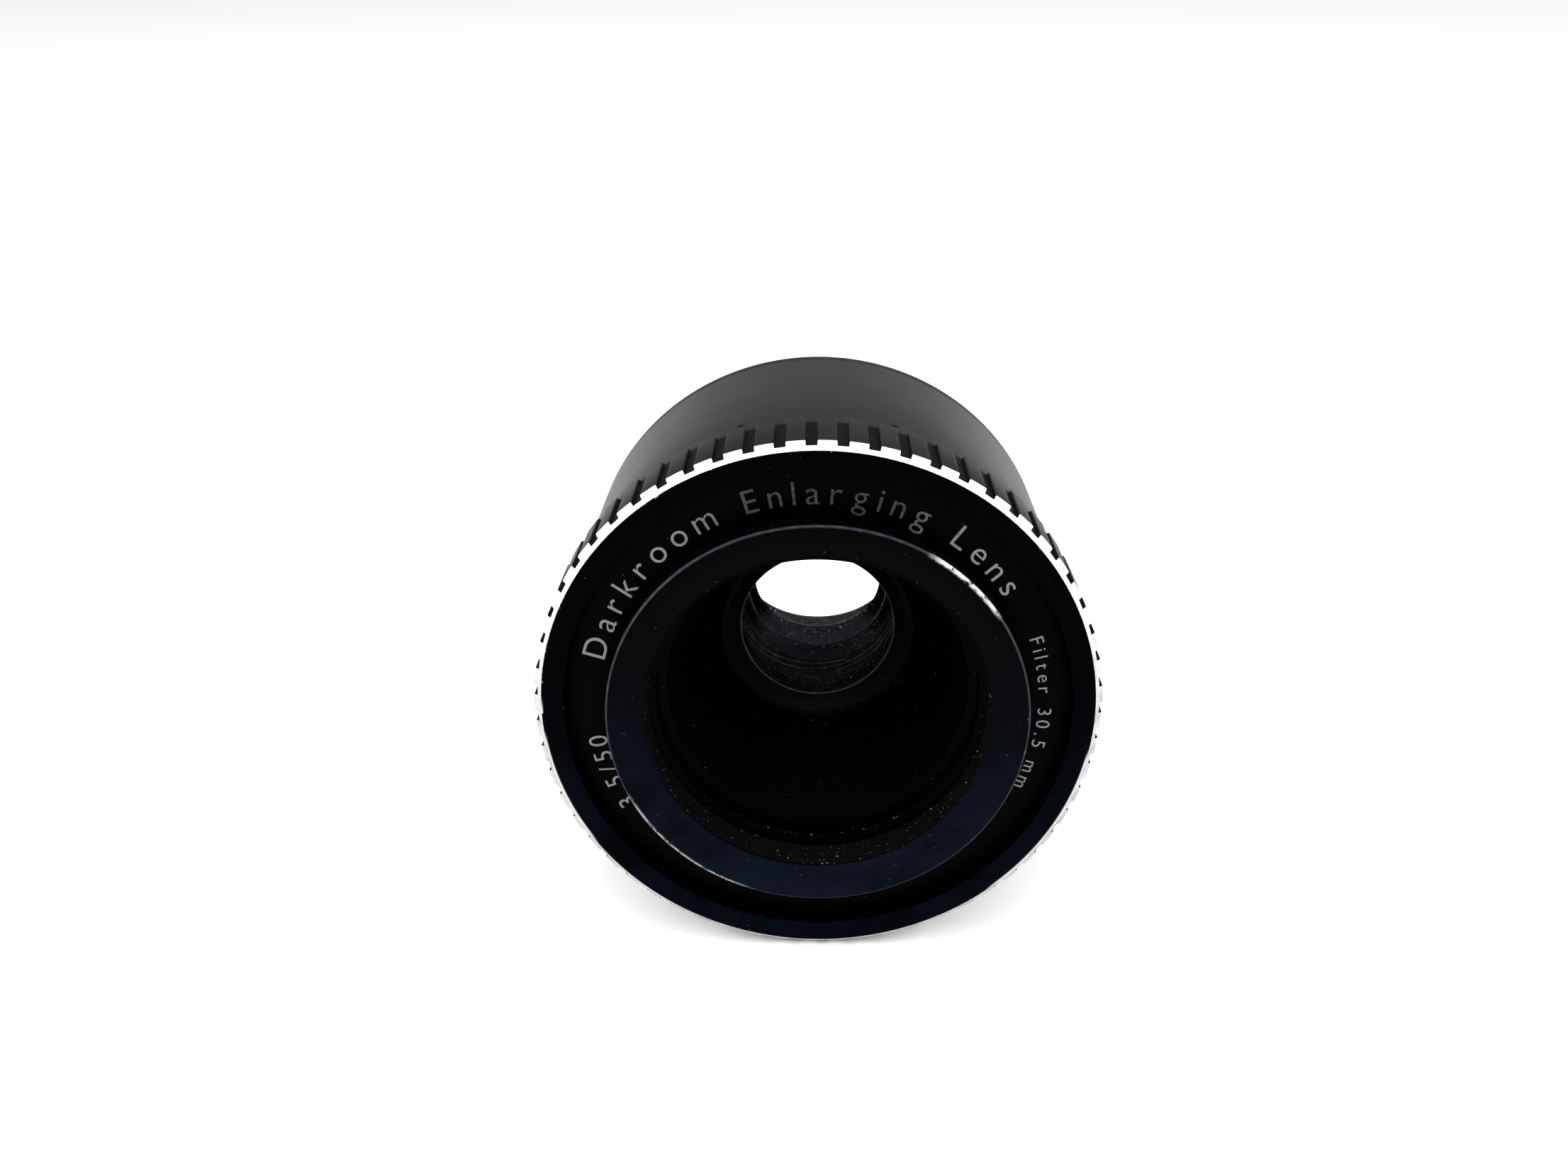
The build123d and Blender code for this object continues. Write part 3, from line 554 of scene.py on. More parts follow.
def aged_black(finish, layer, along, chips, blue_reflection_share):
    """Fill a layer with aged black and a painted blue reflection low down; along is the turning direction, chips
    masks bare metal, on some corners a painted highlight, and the last mask sets how far the blue shows.
    """
    place = finish.place
    rings = finish.lathe_lines(along, 0.05)
    cloud = place.grain(6.0, detail=5.0)
    fleck = place.grain(0.22, detail=1.0).rise(0.775, 0.80)
    # Painted reflection: a faint blue is mixed in only low down on the black faces, broken up by the cloud.
    lower = finish.z.rise(9.0, -16.0)
    colour = (lower * blue_reflection_share * cloud.rise(0.20, 0.60)).blend(INK, PAINTED_BLUE_REFLECTION)
    dusty = (fleck * 0.7).blend(colour, DUST)
    layer.feed(
        Base_Color=chips.blend(dusty, BARE),
        Metallic=chips,
        Roughness=0.42 + rings * 0.16 + cloud * 0.06 - chips * 0.18,
    )
    layer.bump(rings + place.grain(0.12) * 0.4 - chips * 0.8, 0.008, 0.5)


print("black finish ready")

# %% [markdown]
# The aperture ring is one turned blank with sixty milled grooves. The spin is given eight columns of faces for
# each groove and land, three of them groove: those faces are selected by angle, extruded and pushed in to the
# milling depth, and the corners are rounded by one Bevel. The front corner is cut bare of dye after anodising.

# %% Aperture ring
GROOVES = 60
COLUMNS = 8
GROOVE_DEPTH = 0.35
RIM_BEVEL_ACROSS = 0.65  # the front bevel, across the axis
RING_WALL = 2.65
RIBBED_LENGTH = 6.5
BAND_BEVEL = 0.25
TRACK_HALF = 0.9  # half the width of the click ball's track
TRACK_DEPTH = 0.35
TRACK_FROM_REAR = 2.3
LIP_GAP = 0.1
LIP_THICKNESS = 0.8
LIP_WIDTH = 1.8
groove_floor = ring_radius - GROOVE_DEPTH
rim_radius = ring_radius - RIM_BEVEL_ACROSS
ring_bore = ring_radius - RING_WALL
ribs_end = ring_front + RIBBED_LENGTH
cone_cross = ring_front + RIM_BEVEL_ALONG * (groove_floor - rim_radius) / RIM_BEVEL_ACROSS
track = ring_rear - TRACK_FROM_REAR
lip_front = plate_rear + LIP_GAP
ring = turned(
    "grooved_ring",
    [
        (ring_front, ring_bore),
        (ring_front, rim_radius),
        (cone_cross, groove_floor),
        (ring_front + RIM_BEVEL_ALONG, ring_radius),
        (ribs_end - BAND_BEVEL, ring_radius),
        (ribs_end, groove_floor),
        (ring_rear - BAND_BEVEL, groove_floor),
        (ring_rear, groove_floor - BAND_BEVEL),
        (ring_rear, ring_bore),
        (track + TRACK_HALF, ring_bore),
        (track + TRACK_HALF, ring_bore + TRACK_DEPTH),
        (track - TRACK_HALF, ring_bore + TRACK_DEPTH),
        (track - TRACK_HALF, ring_bore),
        (lip_front + LIP_THICKNESS, ring_bore),
        (lip_front + LIP_THICKNESS, ring_bore - LIP_WIDTH),
        (lip_front, ring_bore - LIP_WIDTH),
        (lip_front, ring_bore),
    ],
    steps=GROOVES * COLUMNS,
)
print("ring blank has", len(ring.data.polygons), "faces")

# %% [markdown]
# The milling cutter would go straight down into each groove. Here the groove's faces are extruded in place, and the
# points that still stand at the outer radius are then scaled towards the axis, down to the groove's floor.

# %% Milled grooves
GROOVE_COLUMNS = 3
FIRST_GROOVE = 91.0
LEVEL = 0.05  # how near a radius a point must be to count as on it
start_editing(ring)
mesh = bmesh.from_edit_mesh(ring.data)
bpy.ops.mesh.select_mode(type="FACE")
pitch = 360 / GROOVES
first_groove = FIRST_GROOVE + pitch / COLUMNS / 6
milled = 0
for face in mesh.faces:
    middle = face.calc_center_median() / MM
    reach = math.hypot(middle.x, middle.z)
    angle = math.degrees(math.atan2(middle.z, middle.x))
    off = (angle - first_groove + pitch / 2) % pitch - pitch / 2
    on_land = reach > groove_floor + LEVEL and cone_cross < middle.y < ribs_end
    face.select = on_land and abs(off) < GROOVE_COLUMNS / 2 * pitch / COLUMNS
    milled += face.select
bmesh.update_edit_mesh(ring.data)
bpy.ops.mesh.extrude_region()
bpy.ops.mesh.select_mode(type="VERT")
mesh = bmesh.from_edit_mesh(ring.data)
for corner in mesh.verts:
    corner.select = corner.select and math.hypot(corner.co.x, corner.co.z) / MM > ring_radius - LEVEL
mesh.select_flush_mode()
bmesh.update_edit_mesh(ring.data)
push = groove_floor / ring_radius
bpy.ops.transform.resize(value=(push, 1, push), center_override=(0, 0, 0))
weld(ring)
finish_edges(ring, width=0.07, sharp=30)
print("milled faces:", milled)

# %% [markdown]
# The ring's finish has three zones, told apart by their place on the outline: the black front face and trough
# wall, the bare cone at the corner, and the satin grey of the lands, whose grooves are coloured darker and mottled.

# %% Ring finish
ring_finish = Finish("ring_grey", Specular_IOR_Level=0.045)
satin_grey(
    ring_finish,
    ring_finish,
    [(ribs_end, groove_floor), (ring_rear, groove_floor), (ribs_end - BAND_BEVEL, ring_radius)],
)
in_groove = ring_finish.radius.rise(ring_radius - 0.05, ring_radius - 0.12) * ring_finish.y.rise(
    ribs_end + 0.05, ribs_end - 0.05
)
# The grooves are coloured darker than the lands, with a slow mottle.
groove_mottle = ring_finish.place.grain(0.5, detail=4.0)
groove_layer = ring_finish.layer(in_groove * 0.9, Specular_IOR_Level=0.03)
groove_layer.feed(
    Base_Color=groove_mottle.rise(0.45, 0.75).blend((0.0015, 0.0015, 0.0018), (0.009, 0.0085, 0.008)),
    Roughness=0.5 + groove_mottle * 0.2,
)
# Painted highlight: a thin light line, in metal colours, along the rear corners of the lands and of the band.
highlight_line_places = ring_finish.near_circle(ribs_end - 0.12, ring_radius - 0.12, 0.16)
highlight_line_places = highlight_line_places + ring_finish.near_circle(ring_rear - 0.12, groove_floor - 0.12, 0.16)
highlight_variation = ring_finish.place.grain(1.2, detail=4.0).rise(0.30, 0.62)
painted_edge_highlight = ring_finish.layer(highlight_line_places * (0.35 + highlight_variation * 0.5), Metallic=1.0)
painted_edge_highlight.feed(
    Base_Color=highlight_variation.blend((0.20, 0.20, 0.20), (0.42, 0.42, 0.41)),
    Roughness=0.35 + highlight_variation * 0.1,
)
front_zone = ring_finish.y.rise(ring_front + 0.05, ring_front + 0.01)
wall_zone = ring_finish.radius.rise(ring_bore + 0.12, ring_bore + 0.04)
black_zone = front_zone.maths("MAXIMUM", front_zone, wall_zone)
nicks = ring_finish.place.grain(0.55, detail=5.0, rough=0.7)
left_wear = ring_finish.arc(-172.0, -150.0) + ring_finish.angle.rise(176.0, 180.0)
right_wear = ring_finish.arc(-46.0, -12.0)
chipped = ring_finish.near_circle(ring_front, rim_radius, 0.30) * nicks.rise(0.66, 0.70)
often = (left_wear + right_wear) * ring_finish.near_circle(ring_front, rim_radius, 0.24)
chips = (chipped + often * nicks.rise(0.56, 0.62)).maths("MINIMUM", chipped + often, 1.0)
black_layer = ring_finish.layer(black_zone, Specular_IOR_Level=0.01)
aged_black(ring_finish, black_layer, ring_finish.radius, chips, front_zone * 0.4)
cone_slope = RIM_BEVEL_ACROSS / RIM_BEVEL_ALONG
cone = ring_finish.radius - (ring_finish.y - ring_front) * cone_slope - rim_radius
ragged = cone + (ring_finish.place.grain(0.25, detail=3.0) - 0.5) * 0.05
on_cone = ragged.maths("ABSOLUTE", ragged).rise(0.06, 0.045) * ring_finish.y.rise(
    ring_front + 0.68, ring_front + 0.62
)
bare_layer = ring_finish.layer(on_cone, Metallic=1.0)
cut_lines = ring_finish.scratches(0.12, 1.2)
stain = ring_finish.place.grain(1.6, detail=4.0)
# Painted reflection: the bare cone is coloured darker towards the sides and bottom, where it would mirror greyer
# floor; the stain is real tarnish.
bare_layer.feed(
    Base_Color=(stain.rise(0.42, 0.75) * 0.3 + ring_finish.z.rise(17.0, 4.0) * 0.7).blend(
        (0.93, 0.93, 0.92), (0.30, 0.30, 0.31)
    ),
    Roughness=0.22 + cut_lines * 0.28,
)
bare_layer.bump(cut_lines, 0.01, 0.6)
coat(ring_finish.material, ring)
place_piece(ring, "ring", "ribbed_ring", "aperture_ring")

# %% [markdown]
# A screw thread is a ridge that climbs one pitch in each turn. The Screw modifier does just that to a small
# outline, so a thread is made from one closed section of the ridge, screwed for a whole number of turns, and its
# two open ends are filled. The ridge is seated a little into the wall that carries it. It is a plain trapezoid,
# with flanks flatter than those of a standard thread.

# %% Thread
RIDGE_SEAT = 0.05
RIDGE_FILL = 0.98  # share of the pitch that the ridge takes, so that its turns stay apart
CREST_FRONT = 0.44  # where the flat crest starts and ends, as shares of the pitch
CREST_REAR = 0.56


def thread(name, wall, crest, pitch, start, turns, steps=120):
    """A helical ridge from its wall radius to its crest radius, from a station on."""
    foot = wall + math.copysign(RIDGE_SEAT, wall - crest)
    corners = [(0.0, foot), (CREST_FRONT * pitch, crest), (CREST_REAR * pitch, crest), (pitch, foot)]
    outline = [(start + station * RIDGE_FILL, radius) for station, radius in corners]
    piece = drawn_outline(name, outline, closed=True)
    bpy.ops.object.mode_set(mode="OBJECT")
    apply_modifier(
        piece,
        "SCREW",
        axis="Y",
        angle=FULL_TURN,
        screw_offset=pitch * MM,
        iterations=turns,
        steps=steps,
        render_steps=steps,
        use_merge_vertices=False,
    )
    start_editing(piece)
    bpy.ops.mesh.select_mode(type="EDGE")
    bpy.ops.mesh.select_non_manifold()
    bpy.ops.mesh.edge_face_add()
    weld(piece)
    finish_edges(piece, width=0)
    return piece


print("thread helper ready")

# %% [markdown]
# The hood is one long piece: the collar that stands out in front, the filter thread inside its mouth, a step, and
# a black funnel that narrows to the front glass. The funnel is cut with fine baffle grooves, which kill stray
# light, so its outline gets a row of small teeth. The thread is added as a ridge inside the mouth.

# %% Front hood
COLLAR_EDGE = 0.25
SKIRT_RADIUS = 17.0
MOUTH_BEVEL = 0.7  # along the axis
THREAD_RELIEF = 0.2
STEP_RISE = 0.8
TOOTH_HEIGHT = 0.10
TOOTH_SHARE = 0.45  # where a tooth's edge stands in its own length
FILTER_PITCH = 0.5
BAFFLES = 22
collar_radius = 18.3
mouth_radius = 16.0
thread_root = 15.2
thread_crest = 15.0
thread_end_station = ring_front + 3.0
step_end = thread_end_station + 2.0
throat = 13.6
funnel_end = 9.32
flange_back = plate_rear + 0.8
hood_outline = [
    (hood_front, mouth_radius),
    (hood_front, collar_radius - COLLAR_EDGE),
    (hood_front + COLLAR_EDGE, collar_radius),
    (plate_rear, collar_radius),
    (plate_rear, hood_flange),
    (flange_back, hood_flange),
    (flange_back, SKIRT_RADIUS),
    (hood_rear, SKIRT_RADIUS),
    (hood_rear, funnel_end),
]
baffle = (hood_rear - step_end) / BAFFLES
for tooth in range(BAFFLES - 1, -1, -1):
    wide = step_end + tooth * baffle
    radius = funnel_end + (throat - funnel_end) * (1 - tooth / BAFFLES)
    hood_outline.append((wide + baffle * TOOTH_SHARE, radius + TOOTH_HEIGHT))
    hood_outline.append((wide, radius))
hood_outline += [
    (step_end, throat),
    (step_end, throat + STEP_RISE),
    (thread_end_station, throat + STEP_RISE),
    (thread_end_station, thread_root),
    (hood_front + MOUTH_BEVEL + THREAD_RELIEF, thread_root),
    (hood_front + MOUTH_BEVEL, thread_crest),
]
hood = turned("hood_funnel", hood_outline, steps=300)
finish_edges(hood, width=0.04, sharp=40)
turns = int((thread_end_station - hood_front - 1.0) / FILTER_PITCH) - 1
filter_start = hood_front + 0.85
filter_thread = thread("filter_thread_ridge", thread_root, thread_crest, FILTER_PITCH, filter_start, turns)
print("filter thread has", turns, "turns")

# %% [markdown]
# The collar's outer corner is where the lens is set down on its face and where filters knock it: the dye is worn
# to bare metal along two arcs. A thin pale line along the whole corner is a painted highlight. The wear masks read
# the distance from that corner and the angle round the axis.

# %% Hood finish
hood_finish = Finish("hood_black", Specular_IOR_Level=0.02)
corner = hood_finish.near_circle(hood_front + 0.10, collar_radius - 0.10, 0.34)
highlight_corner = hood_finish.near_circle(hood_front + 0.12, collar_radius - 0.10, 0.20)
nibbles = hood_finish.place.grain(0.7, detail=6.0, rough=0.75)
worn_arcs = hood_finish.arc(38.0, 55.0, 6.0) + hood_finish.arc(-146.0, -119.0, 12.0)
bare_arc = corner * worn_arcs * nibbles.rise(0.40, 0.52)
small_chips = corner * nibbles.rise(0.68, 0.72)
step_dust = hood_finish.near_circle(thread_end_station, throat + 0.85, 0.12) * hood_finish.arc(
    -125.0, -60.0, 12.0
)
step_dust = step_dust * hood_finish.place.grain(0.3, detail=4.0).rise(0.62, 0.70) * 0.5
lost = bare_arc + small_chips + step_dust
lost = lost.maths("MINIMUM", lost, 1.0)
at_front = hood_finish.y.rise(hood_front + 1.0, hood_front + 0.5)
aged_black(hood_finish, hood_finish, hood_finish.radius + hood_finish.y * 0.6, lost, at_front)
# Painted highlight: a thin pale line all along the collar's outer corner.
pale = hood_finish.layer(highlight_corner * 0.55, Specular_IOR_Level=0.3)
pale.feed(
    Base_Color=nibbles.rise(0.35, 0.70).blend((0.010, 0.016, 0.028), (0.05, 0.065, 0.085)),
    Roughness=0.35 + nibbles * 0.2,
)
thread_finish = Finish("thread_black", Specular_IOR_Level=0.03)
crest_dust = thread_finish.place.grain(0.25, detail=4.0).rise(0.66, 0.72)
aged_black(thread_finish, thread_finish, thread_finish.y, crest_dust * 0.3, crest_dust)
coat(hood_finish.material, hood)
coat(thread_finish.material, filter_thread)
place_piece(hood, "body", "black_hood", "front_hood")
place_piece(filter_thread, "body", "black_hood")

# %% [markdown]
# The name ring is the flat floor of the trough round the collar. Its lettering is engraved and filled with pale
# paint: here each character is a thin inlay that stands about a hundredth of a millimetre proud. The words are
# generic: what the thing is, its aperture and focal length, and the size of the filter thread.

# %% Characters on an arc
INLAY = 0.012
SPACE = 0.55  # width of a space, as a share of the size


def character(letter, size, weight):
    """One character as a mesh, and its width in millimetres."""
    bpy.ops.object.select_all(action="DESELECT")
    bpy.ops.object.text_add()
    text = bpy.context.object
    text.data.body = letter
    text.data.size = size * MM
    text.data.offset = weight * MM
    text.data.extrude = INLAY * MM
    text.data.resolution_u = 8
    bpy.ops.object.convert(target="MESH")
    piece = bpy.context.object
    sides = [v.co.x for v in piece.data.vertices]
    piece.data.transform(Matrix.Translation((-(min(sides) + max(sides)) / 2, 0, 0)))
    return piece, (max(sides) - min(sides)) / MM


def lettering(name, words, size, gap, weight, frame_at):
    """Characters one after another; frame_at(distance) gives the place of each, by its middle."""
    pieces = []
    walked = 0.0
    for letter in words:
        if letter == " ":
            walked += size * SPACE
            continue
        piece, width = character(letter, size, weight)
        walked += width / 2
        piece.data.transform(frame_at(walked))
        walked += width / 2 + gap
        pieces.append(piece)
    bpy.ops.object.select_all(action="DESELECT")
    for piece in pieces:
        piece.select_set(True)
    bpy.context.view_layer.objects.active = pieces[0]
    bpy.ops.object.join()
    joined = bpy.context.object
    joined.name = name
    start_editing(joined)
    weld(joined)
    return joined


def basis(right, up, out, origin):
    """A placing matrix from three directions and an origin in millimetres."""
    turn = Matrix((right, up, out)).transposed().to_4x4()
    return Matrix.Translation(Vector(origin) * MM) @ turn


def on_face(start, radius, station):
    """Places along a circle on a face that looks to the front, clockwise from a start angle."""

    def at(distance):
        angle = math.radians(start) - distance / radius
        up = Vector((math.cos(angle), 0, math.sin(angle)))
        right = Vector((math.sin(angle), 0, -math.cos(angle)))
        return basis(right, up, right.cross(up), (radius * up.x, station, radius * up.z))

    return at


print("lettering helpers ready")

# %% [markdown]
# The plate is a flat ring that fits round the collar. Three groups of words run clockwise round it, and each takes
# the angle where it starts and the circle that its characters stand on.

# %% Name ring
FIT = 0.02  # gap of a fixed fit
WORDS_CIRCLE = 18.98
plate_bore = collar_radius + FIT
plate = turned(
    "name_plate_ring",
    [
        (plate_front, plate_bore),
        (plate_front, plate_radius),
        (plate_rear, plate_radius),
        (plate_rear, plate_bore),
    ],
)
finish_edges(plate, width=0.04)
big_words = lettering(
    "name_ring_words", "Darkroom Enlarging Lens", 3.0, 0.83, -0.012, on_face(166.0, WORDS_CIRCLE, plate_front)
)
size_words = lettering(
    "name_ring_size", "3.5/50", 2.45, 0.55, -0.012, on_face(211.0, WORDS_CIRCLE, plate_front)
)
small_words = lettering(
    "name_ring_filter", "Filter 30.5 mm", 1.75, 0.52, -0.008, on_face(20.0, 19.3, plate_front)
)

# %% [markdown]
# The paint in the engraving has dulled in patches, and round the top of the plate it is darkened by a painted
# shade. The plate itself is the same aged black as the hood.

# %% Name ring finish
plate_finish = Finish("plate_black", Specular_IOR_Level=0.02)
no_chips = plate_finish.place.grain(0.3).rise(0.80, 0.83)
aged_black(plate_finish, plate_finish, plate_finish.radius, no_chips, no_chips)
coat(plate_finish.material, plate)
place_piece(plate, "body", "name_plate", "name_ring")

paint_finish = Finish("pale_paint", Specular_IOR_Level=0.2)
patches = paint_finish.place.grain(0.35, detail=4.0)
# Painted shade: the letters are coloured darker round the top of the plate; the patches are real dulling.
painted_top_shade = paint_finish.arc(72.0, 104.0, 26.0)
top_shade_and_patches = painted_top_shade * 0.9 + patches.rise(0.50, 0.72) * 0.35
top_shade_and_patches = top_shade_and_patches.maths("MINIMUM", top_shade_and_patches, 1.0)
paint_finish.feed(
    Base_Color=top_shade_and_patches.blend((0.20, 0.21, 0.22), (0.018, 0.020, 0.023)), Roughness=0.5 + patches * 0.25
)
paint_finish.bump(patches, 0.01, 0.4)
for words in (big_words, size_words, small_words):
    coat(paint_finish.material, words)
    place_piece(words, "body", "white_paint")

# %% [markdown]
# The aperture numbers stand on the plain band of the ring, and each comes to the index dot when the ring is
# turned to that stop. The ring's turn for a stop follows from the iris: the blades swing half as far as the ring,
# and the opening is their inner edge. So the angles are worked out here rather than typed in.

# %% Aperture scale
LENS_FOCAL_LENGTH = 50.0
IRIS_OPENING = 7.5  # radius of the blades' inner edge when they are wide open
BLADE_CIRCLE = 9.75  # radius of each blade's middle line
BLADE_RATIO = 0.5  # blade turn for each degree of ring turn


def ring_turn(f_number):
    """Degrees that the ring turns from rest to this stop."""
    opening = min(LENS_FOCAL_LENGTH / f_number / 2, IRIS_OPENING)
    swing = 2 * math.degrees(math.asin((IRIS_OPENING - opening) / (2 * BLADE_CIRCLE)))
    return swing / BLADE_RATIO


def on_band(middle_angle, width, radius, station):
    """Places across the ring's band, for characters that stand upright with the mount above."""

    def at(distance):
        angle = math.radians(middle_angle) - (distance - width / 2) / radius
        out = Vector((math.cos(angle), 0, math.sin(angle)))
        right = Vector((math.sin(angle), 0, -math.cos(angle)))
        return basis(right, Vector((0, 1, 0)), out, (radius * out.x, station, radius * out.z))

    return at


band_front = ribs_end + 0.38
for f_number in (3.5, 4, 5.6, 8, 11, 16):
    label = str(f_number)
    wide = 0.62 * len(label.replace(".", "")) + 0.25 * label.count(".")
    mark = lettering(
        "stop_" + label.replace(".", "_"), label, 1.35, 0.10, -0.004,
        on_band(INDEX_ANGLE - ring_turn(f_number), wide, groove_floor, band_front),
    )
    coat(paint_finish.material, mark)
    place_piece(mark, "ring", "white_paint")
coat(paint_finish.material, "index_dot")

# %% [markdown]
# The glasses are ground to spheres and polished, then edged on a lathe and their rims inked black. Each is spun
# from half its outline: two arcs that start and end on the axis. What can be seen through the lens depends on these
# curves, so they are the frame's own.

# %% Ground glass
FACE_STEPS = 18


def sag(curve, height):
    """How far a sphere of this radius falls back from its vertex at a height off the axis."""
    return curve - math.copysign(math.sqrt(curve**2 - height**2), curve)


def arc_points(vertex, curve, height):
    """Points of a polished face from the axis out to a height."""
    heights = [height * math.sin(math.radians(90) * index / FACE_STEPS) for index in range(FACE_STEPS + 1)]
    return [(vertex + sag(curve, radius), radius) for radius in heights]


def glass(name, node, front, rear, edge, finish):
    """A glass from (vertex, curve, height) of its two faces and its edge radius."""
    outline = arc_points(*front)
    if edge > front[2]:
        outline.append((outline[-1][0], edge))
    back = arc_points(*rear)
    if edge > rear[2]:
        outline.append((back[-1][0], edge))
    outline += reversed(back)
    piece = turned(name, outline, steps=128, closed=False)
    finish_edges(piece, width=0, sharp=26)
    coat(finish.material, piece)
    place_piece(piece, "body", "coated_glass", node)


print("glass helpers ready")

# %% [markdown]
# The shader bends light as glass does, so the baffles behind are seen displaced, as they are through the real lens.
# The coating is only a weak tint, and the ground rims are a black layer over the clear one.

# %% Glass finish
COATING = (0.035, 0.028, 0.045, 1.0)  # a coated face reflects little, and slightly purple
INK_LIGHT = (0.001, 0.001, 0.001)
INK_DARK = (0.004, 0.004, 0.004)


def glass_finish(name, tint, index, edge, bevel=None):
    """Clear polished glass with dust on it; its edge, and a flat bevel from (station, radius), are inked black."""
    finish = Finish(name, Transmission_Weight=1.0, IOR=index, Specular_Tint=COATING)
    dust = finish.place.grain(0.22, detail=2.0).rise(0.715, 0.73)
    film = finish.place.grain(3.0, detail=3.0)
    clear = film.rise(0.4, 0.8).blend(tint, tuple(0.985 * c for c in tint))
    finish.feed(
        Base_Color=(dust * 0.9).blend(clear, (0.02, 0.02, 0.02)),
        Roughness=dust * 0.4 + film.rise(0.55, 0.85) * 0.003,
    )
    inked = finish.radius.rise(edge - 0.08, edge - 0.05)
    if bevel:
        station, radius = bevel
        behind_bevel = finish.y.rise(station - 0.08, station - 0.05)
        inked = inked.maths("MAXIMUM", inked, behind_bevel * finish.radius.rise(radius - 0.01, radius + 0.02))
    ink = finish.layer(inked, Specular_IOR_Level=0.05)
    brush = finish.place.grain(0.4, detail=3.0)
    ink.feed(Base_Color=brush.blend(INK_LIGHT, INK_DARK), Roughness=0.5 + brush * 0.3)
    return finish


print("glass finish ready")

# %% [markdown]
# Four glasses in three groups. The last two are cemented: their shared face would trap light if a film of air were
# left in it, so the rear one overlaps the other by a hundredth of a millimetre. The middle glass has a flat ground
# bevel behind, where its hollow face is smaller than its edge.

# %% Glasses
CROWN_INDEX = 1.62
FLINT_INDEX = 1.60
CROWN_TINT = (0.985, 0.99, 1.0)
FLINT_TINT = (1.0, 0.99, 0.97)
FRONT_EDGE = 8.6  # edge radii
MIDDLE_EDGE = 8.0
MIDDLE_HOLLOW = 7.0
REAR_EDGE = 7.6
MIDDLE_FRONT_CURVE = -30.0
MIDDLE_REAR_CURVE = 15.8
CEMENTED_CURVE = 15.5
REAR_FRONT_CURVE = -75.0
FLINT_THICKNESS = 1.0
OVERLAP = 0.01
front_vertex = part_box("front_element")[0].y / MM
front_back = front_vertex + 3.4
middle_vertex = span("spacer_ring")[1] + FIT + sag(-MIDDLE_FRONT_CURVE, MIDDLE_EDGE)
middle_back = middle_vertex + FLINT_THICKNESS
middle_bevel = (middle_back + sag(MIDDLE_REAR_CURVE, MIDDLE_HOLLOW), MIDDLE_HOLLOW)
rear_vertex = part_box("rear_flint_element")[0].y / MM + sag(-REAR_FRONT_CURVE, REAR_EDGE)
cement = rear_vertex + FLINT_THICKNESS
rear_back = cement + 4.01
glass(
    "front_glass", "front_element",
    (front_vertex, 16.3, FRONT_EDGE), (front_back, -200.0, FRONT_EDGE), FRONT_EDGE,
    glass_finish("front_crown_glass", CROWN_TINT, CROWN_INDEX, FRONT_EDGE),
)
glass(
    "middle_glass", "middle_element",
    (middle_vertex, MIDDLE_FRONT_CURVE, MIDDLE_EDGE), (middle_back, MIDDLE_REAR_CURVE, MIDDLE_HOLLOW), MIDDLE_EDGE,
    glass_finish("middle_flint_glass", FLINT_TINT, FLINT_INDEX, MIDDLE_EDGE, middle_bevel),
)
glass(
    "rear_flint_glass", "rear_flint_element",
    (rear_vertex, REAR_FRONT_CURVE, REAR_EDGE), (cement, CEMENTED_CURVE, REAR_EDGE), REAR_EDGE,
    glass_finish("rear_flint_glass", FLINT_TINT, FLINT_INDEX, REAR_EDGE),
)
glass(
    "rear_crown_glass", "rear_crown_element",
    (cement - OVERLAP, CEMENTED_CURVE, REAR_EDGE), (rear_back, -24.0, REAR_EDGE), REAR_EDGE,
    glass_finish("rear_crown_glass", CROWN_TINT, CROWN_INDEX, REAR_EDGE),
)
print("front vertex", round(front_vertex, 2), "middle", round(middle_vertex, 2), "rear", round(rear_vertex, 2))

# %% [markdown]
# The retainer holds the front glass down in its seat. It is a thin threaded ring with an open cone, seen at the
# bottom of the funnel, where a little light is painted on the corner of its opening as bare metal.

# %% Front retainer
RETAINER_OPENING = 7.5
RETAINER_MOUTH = 9.0
cone_end = retainer_front + 1.0
retainer = turned(
    "front_glass_retainer",
    [
        (retainer_front, RETAINER_MOUTH),
        (retainer_front, retainer_radius),
        (retainer_rear, retainer_radius),
        (retainer_rear, RETAINER_OPENING),
        (cone_end, RETAINER_OPENING),
    ],
)
finish_edges(retainer, width=0.05)
retainer_finish = Finish("retainer_black", Specular_IOR_Level=0.04)
rub = retainer_finish.place.grain(0.5, detail=4.0).rise(0.5, 0.7)
# Painted highlight: the corner of the opening is coloured as pale bare metal.
corner_light = retainer_finish.near_circle(cone_end, RETAINER_OPENING, 0.14)
aged_black(retainer_finish, retainer_finish, retainer_finish.radius, corner_light * (0.10 + rub * 0.06), rub)
coat(retainer_finish.material, retainer)
place_piece(retainer, "body", "black_retainer", "front_retainer")

# %% [markdown]
# At the back, the flange closes the barrel and carries the mount thread, 39 millimetres across with twenty-six
# turns to the inch. Plate and boss are one turned piece; the thread is a ridge on the boss, which is turned down
# to the root of the thread. Screw holes are drilled through the plate.

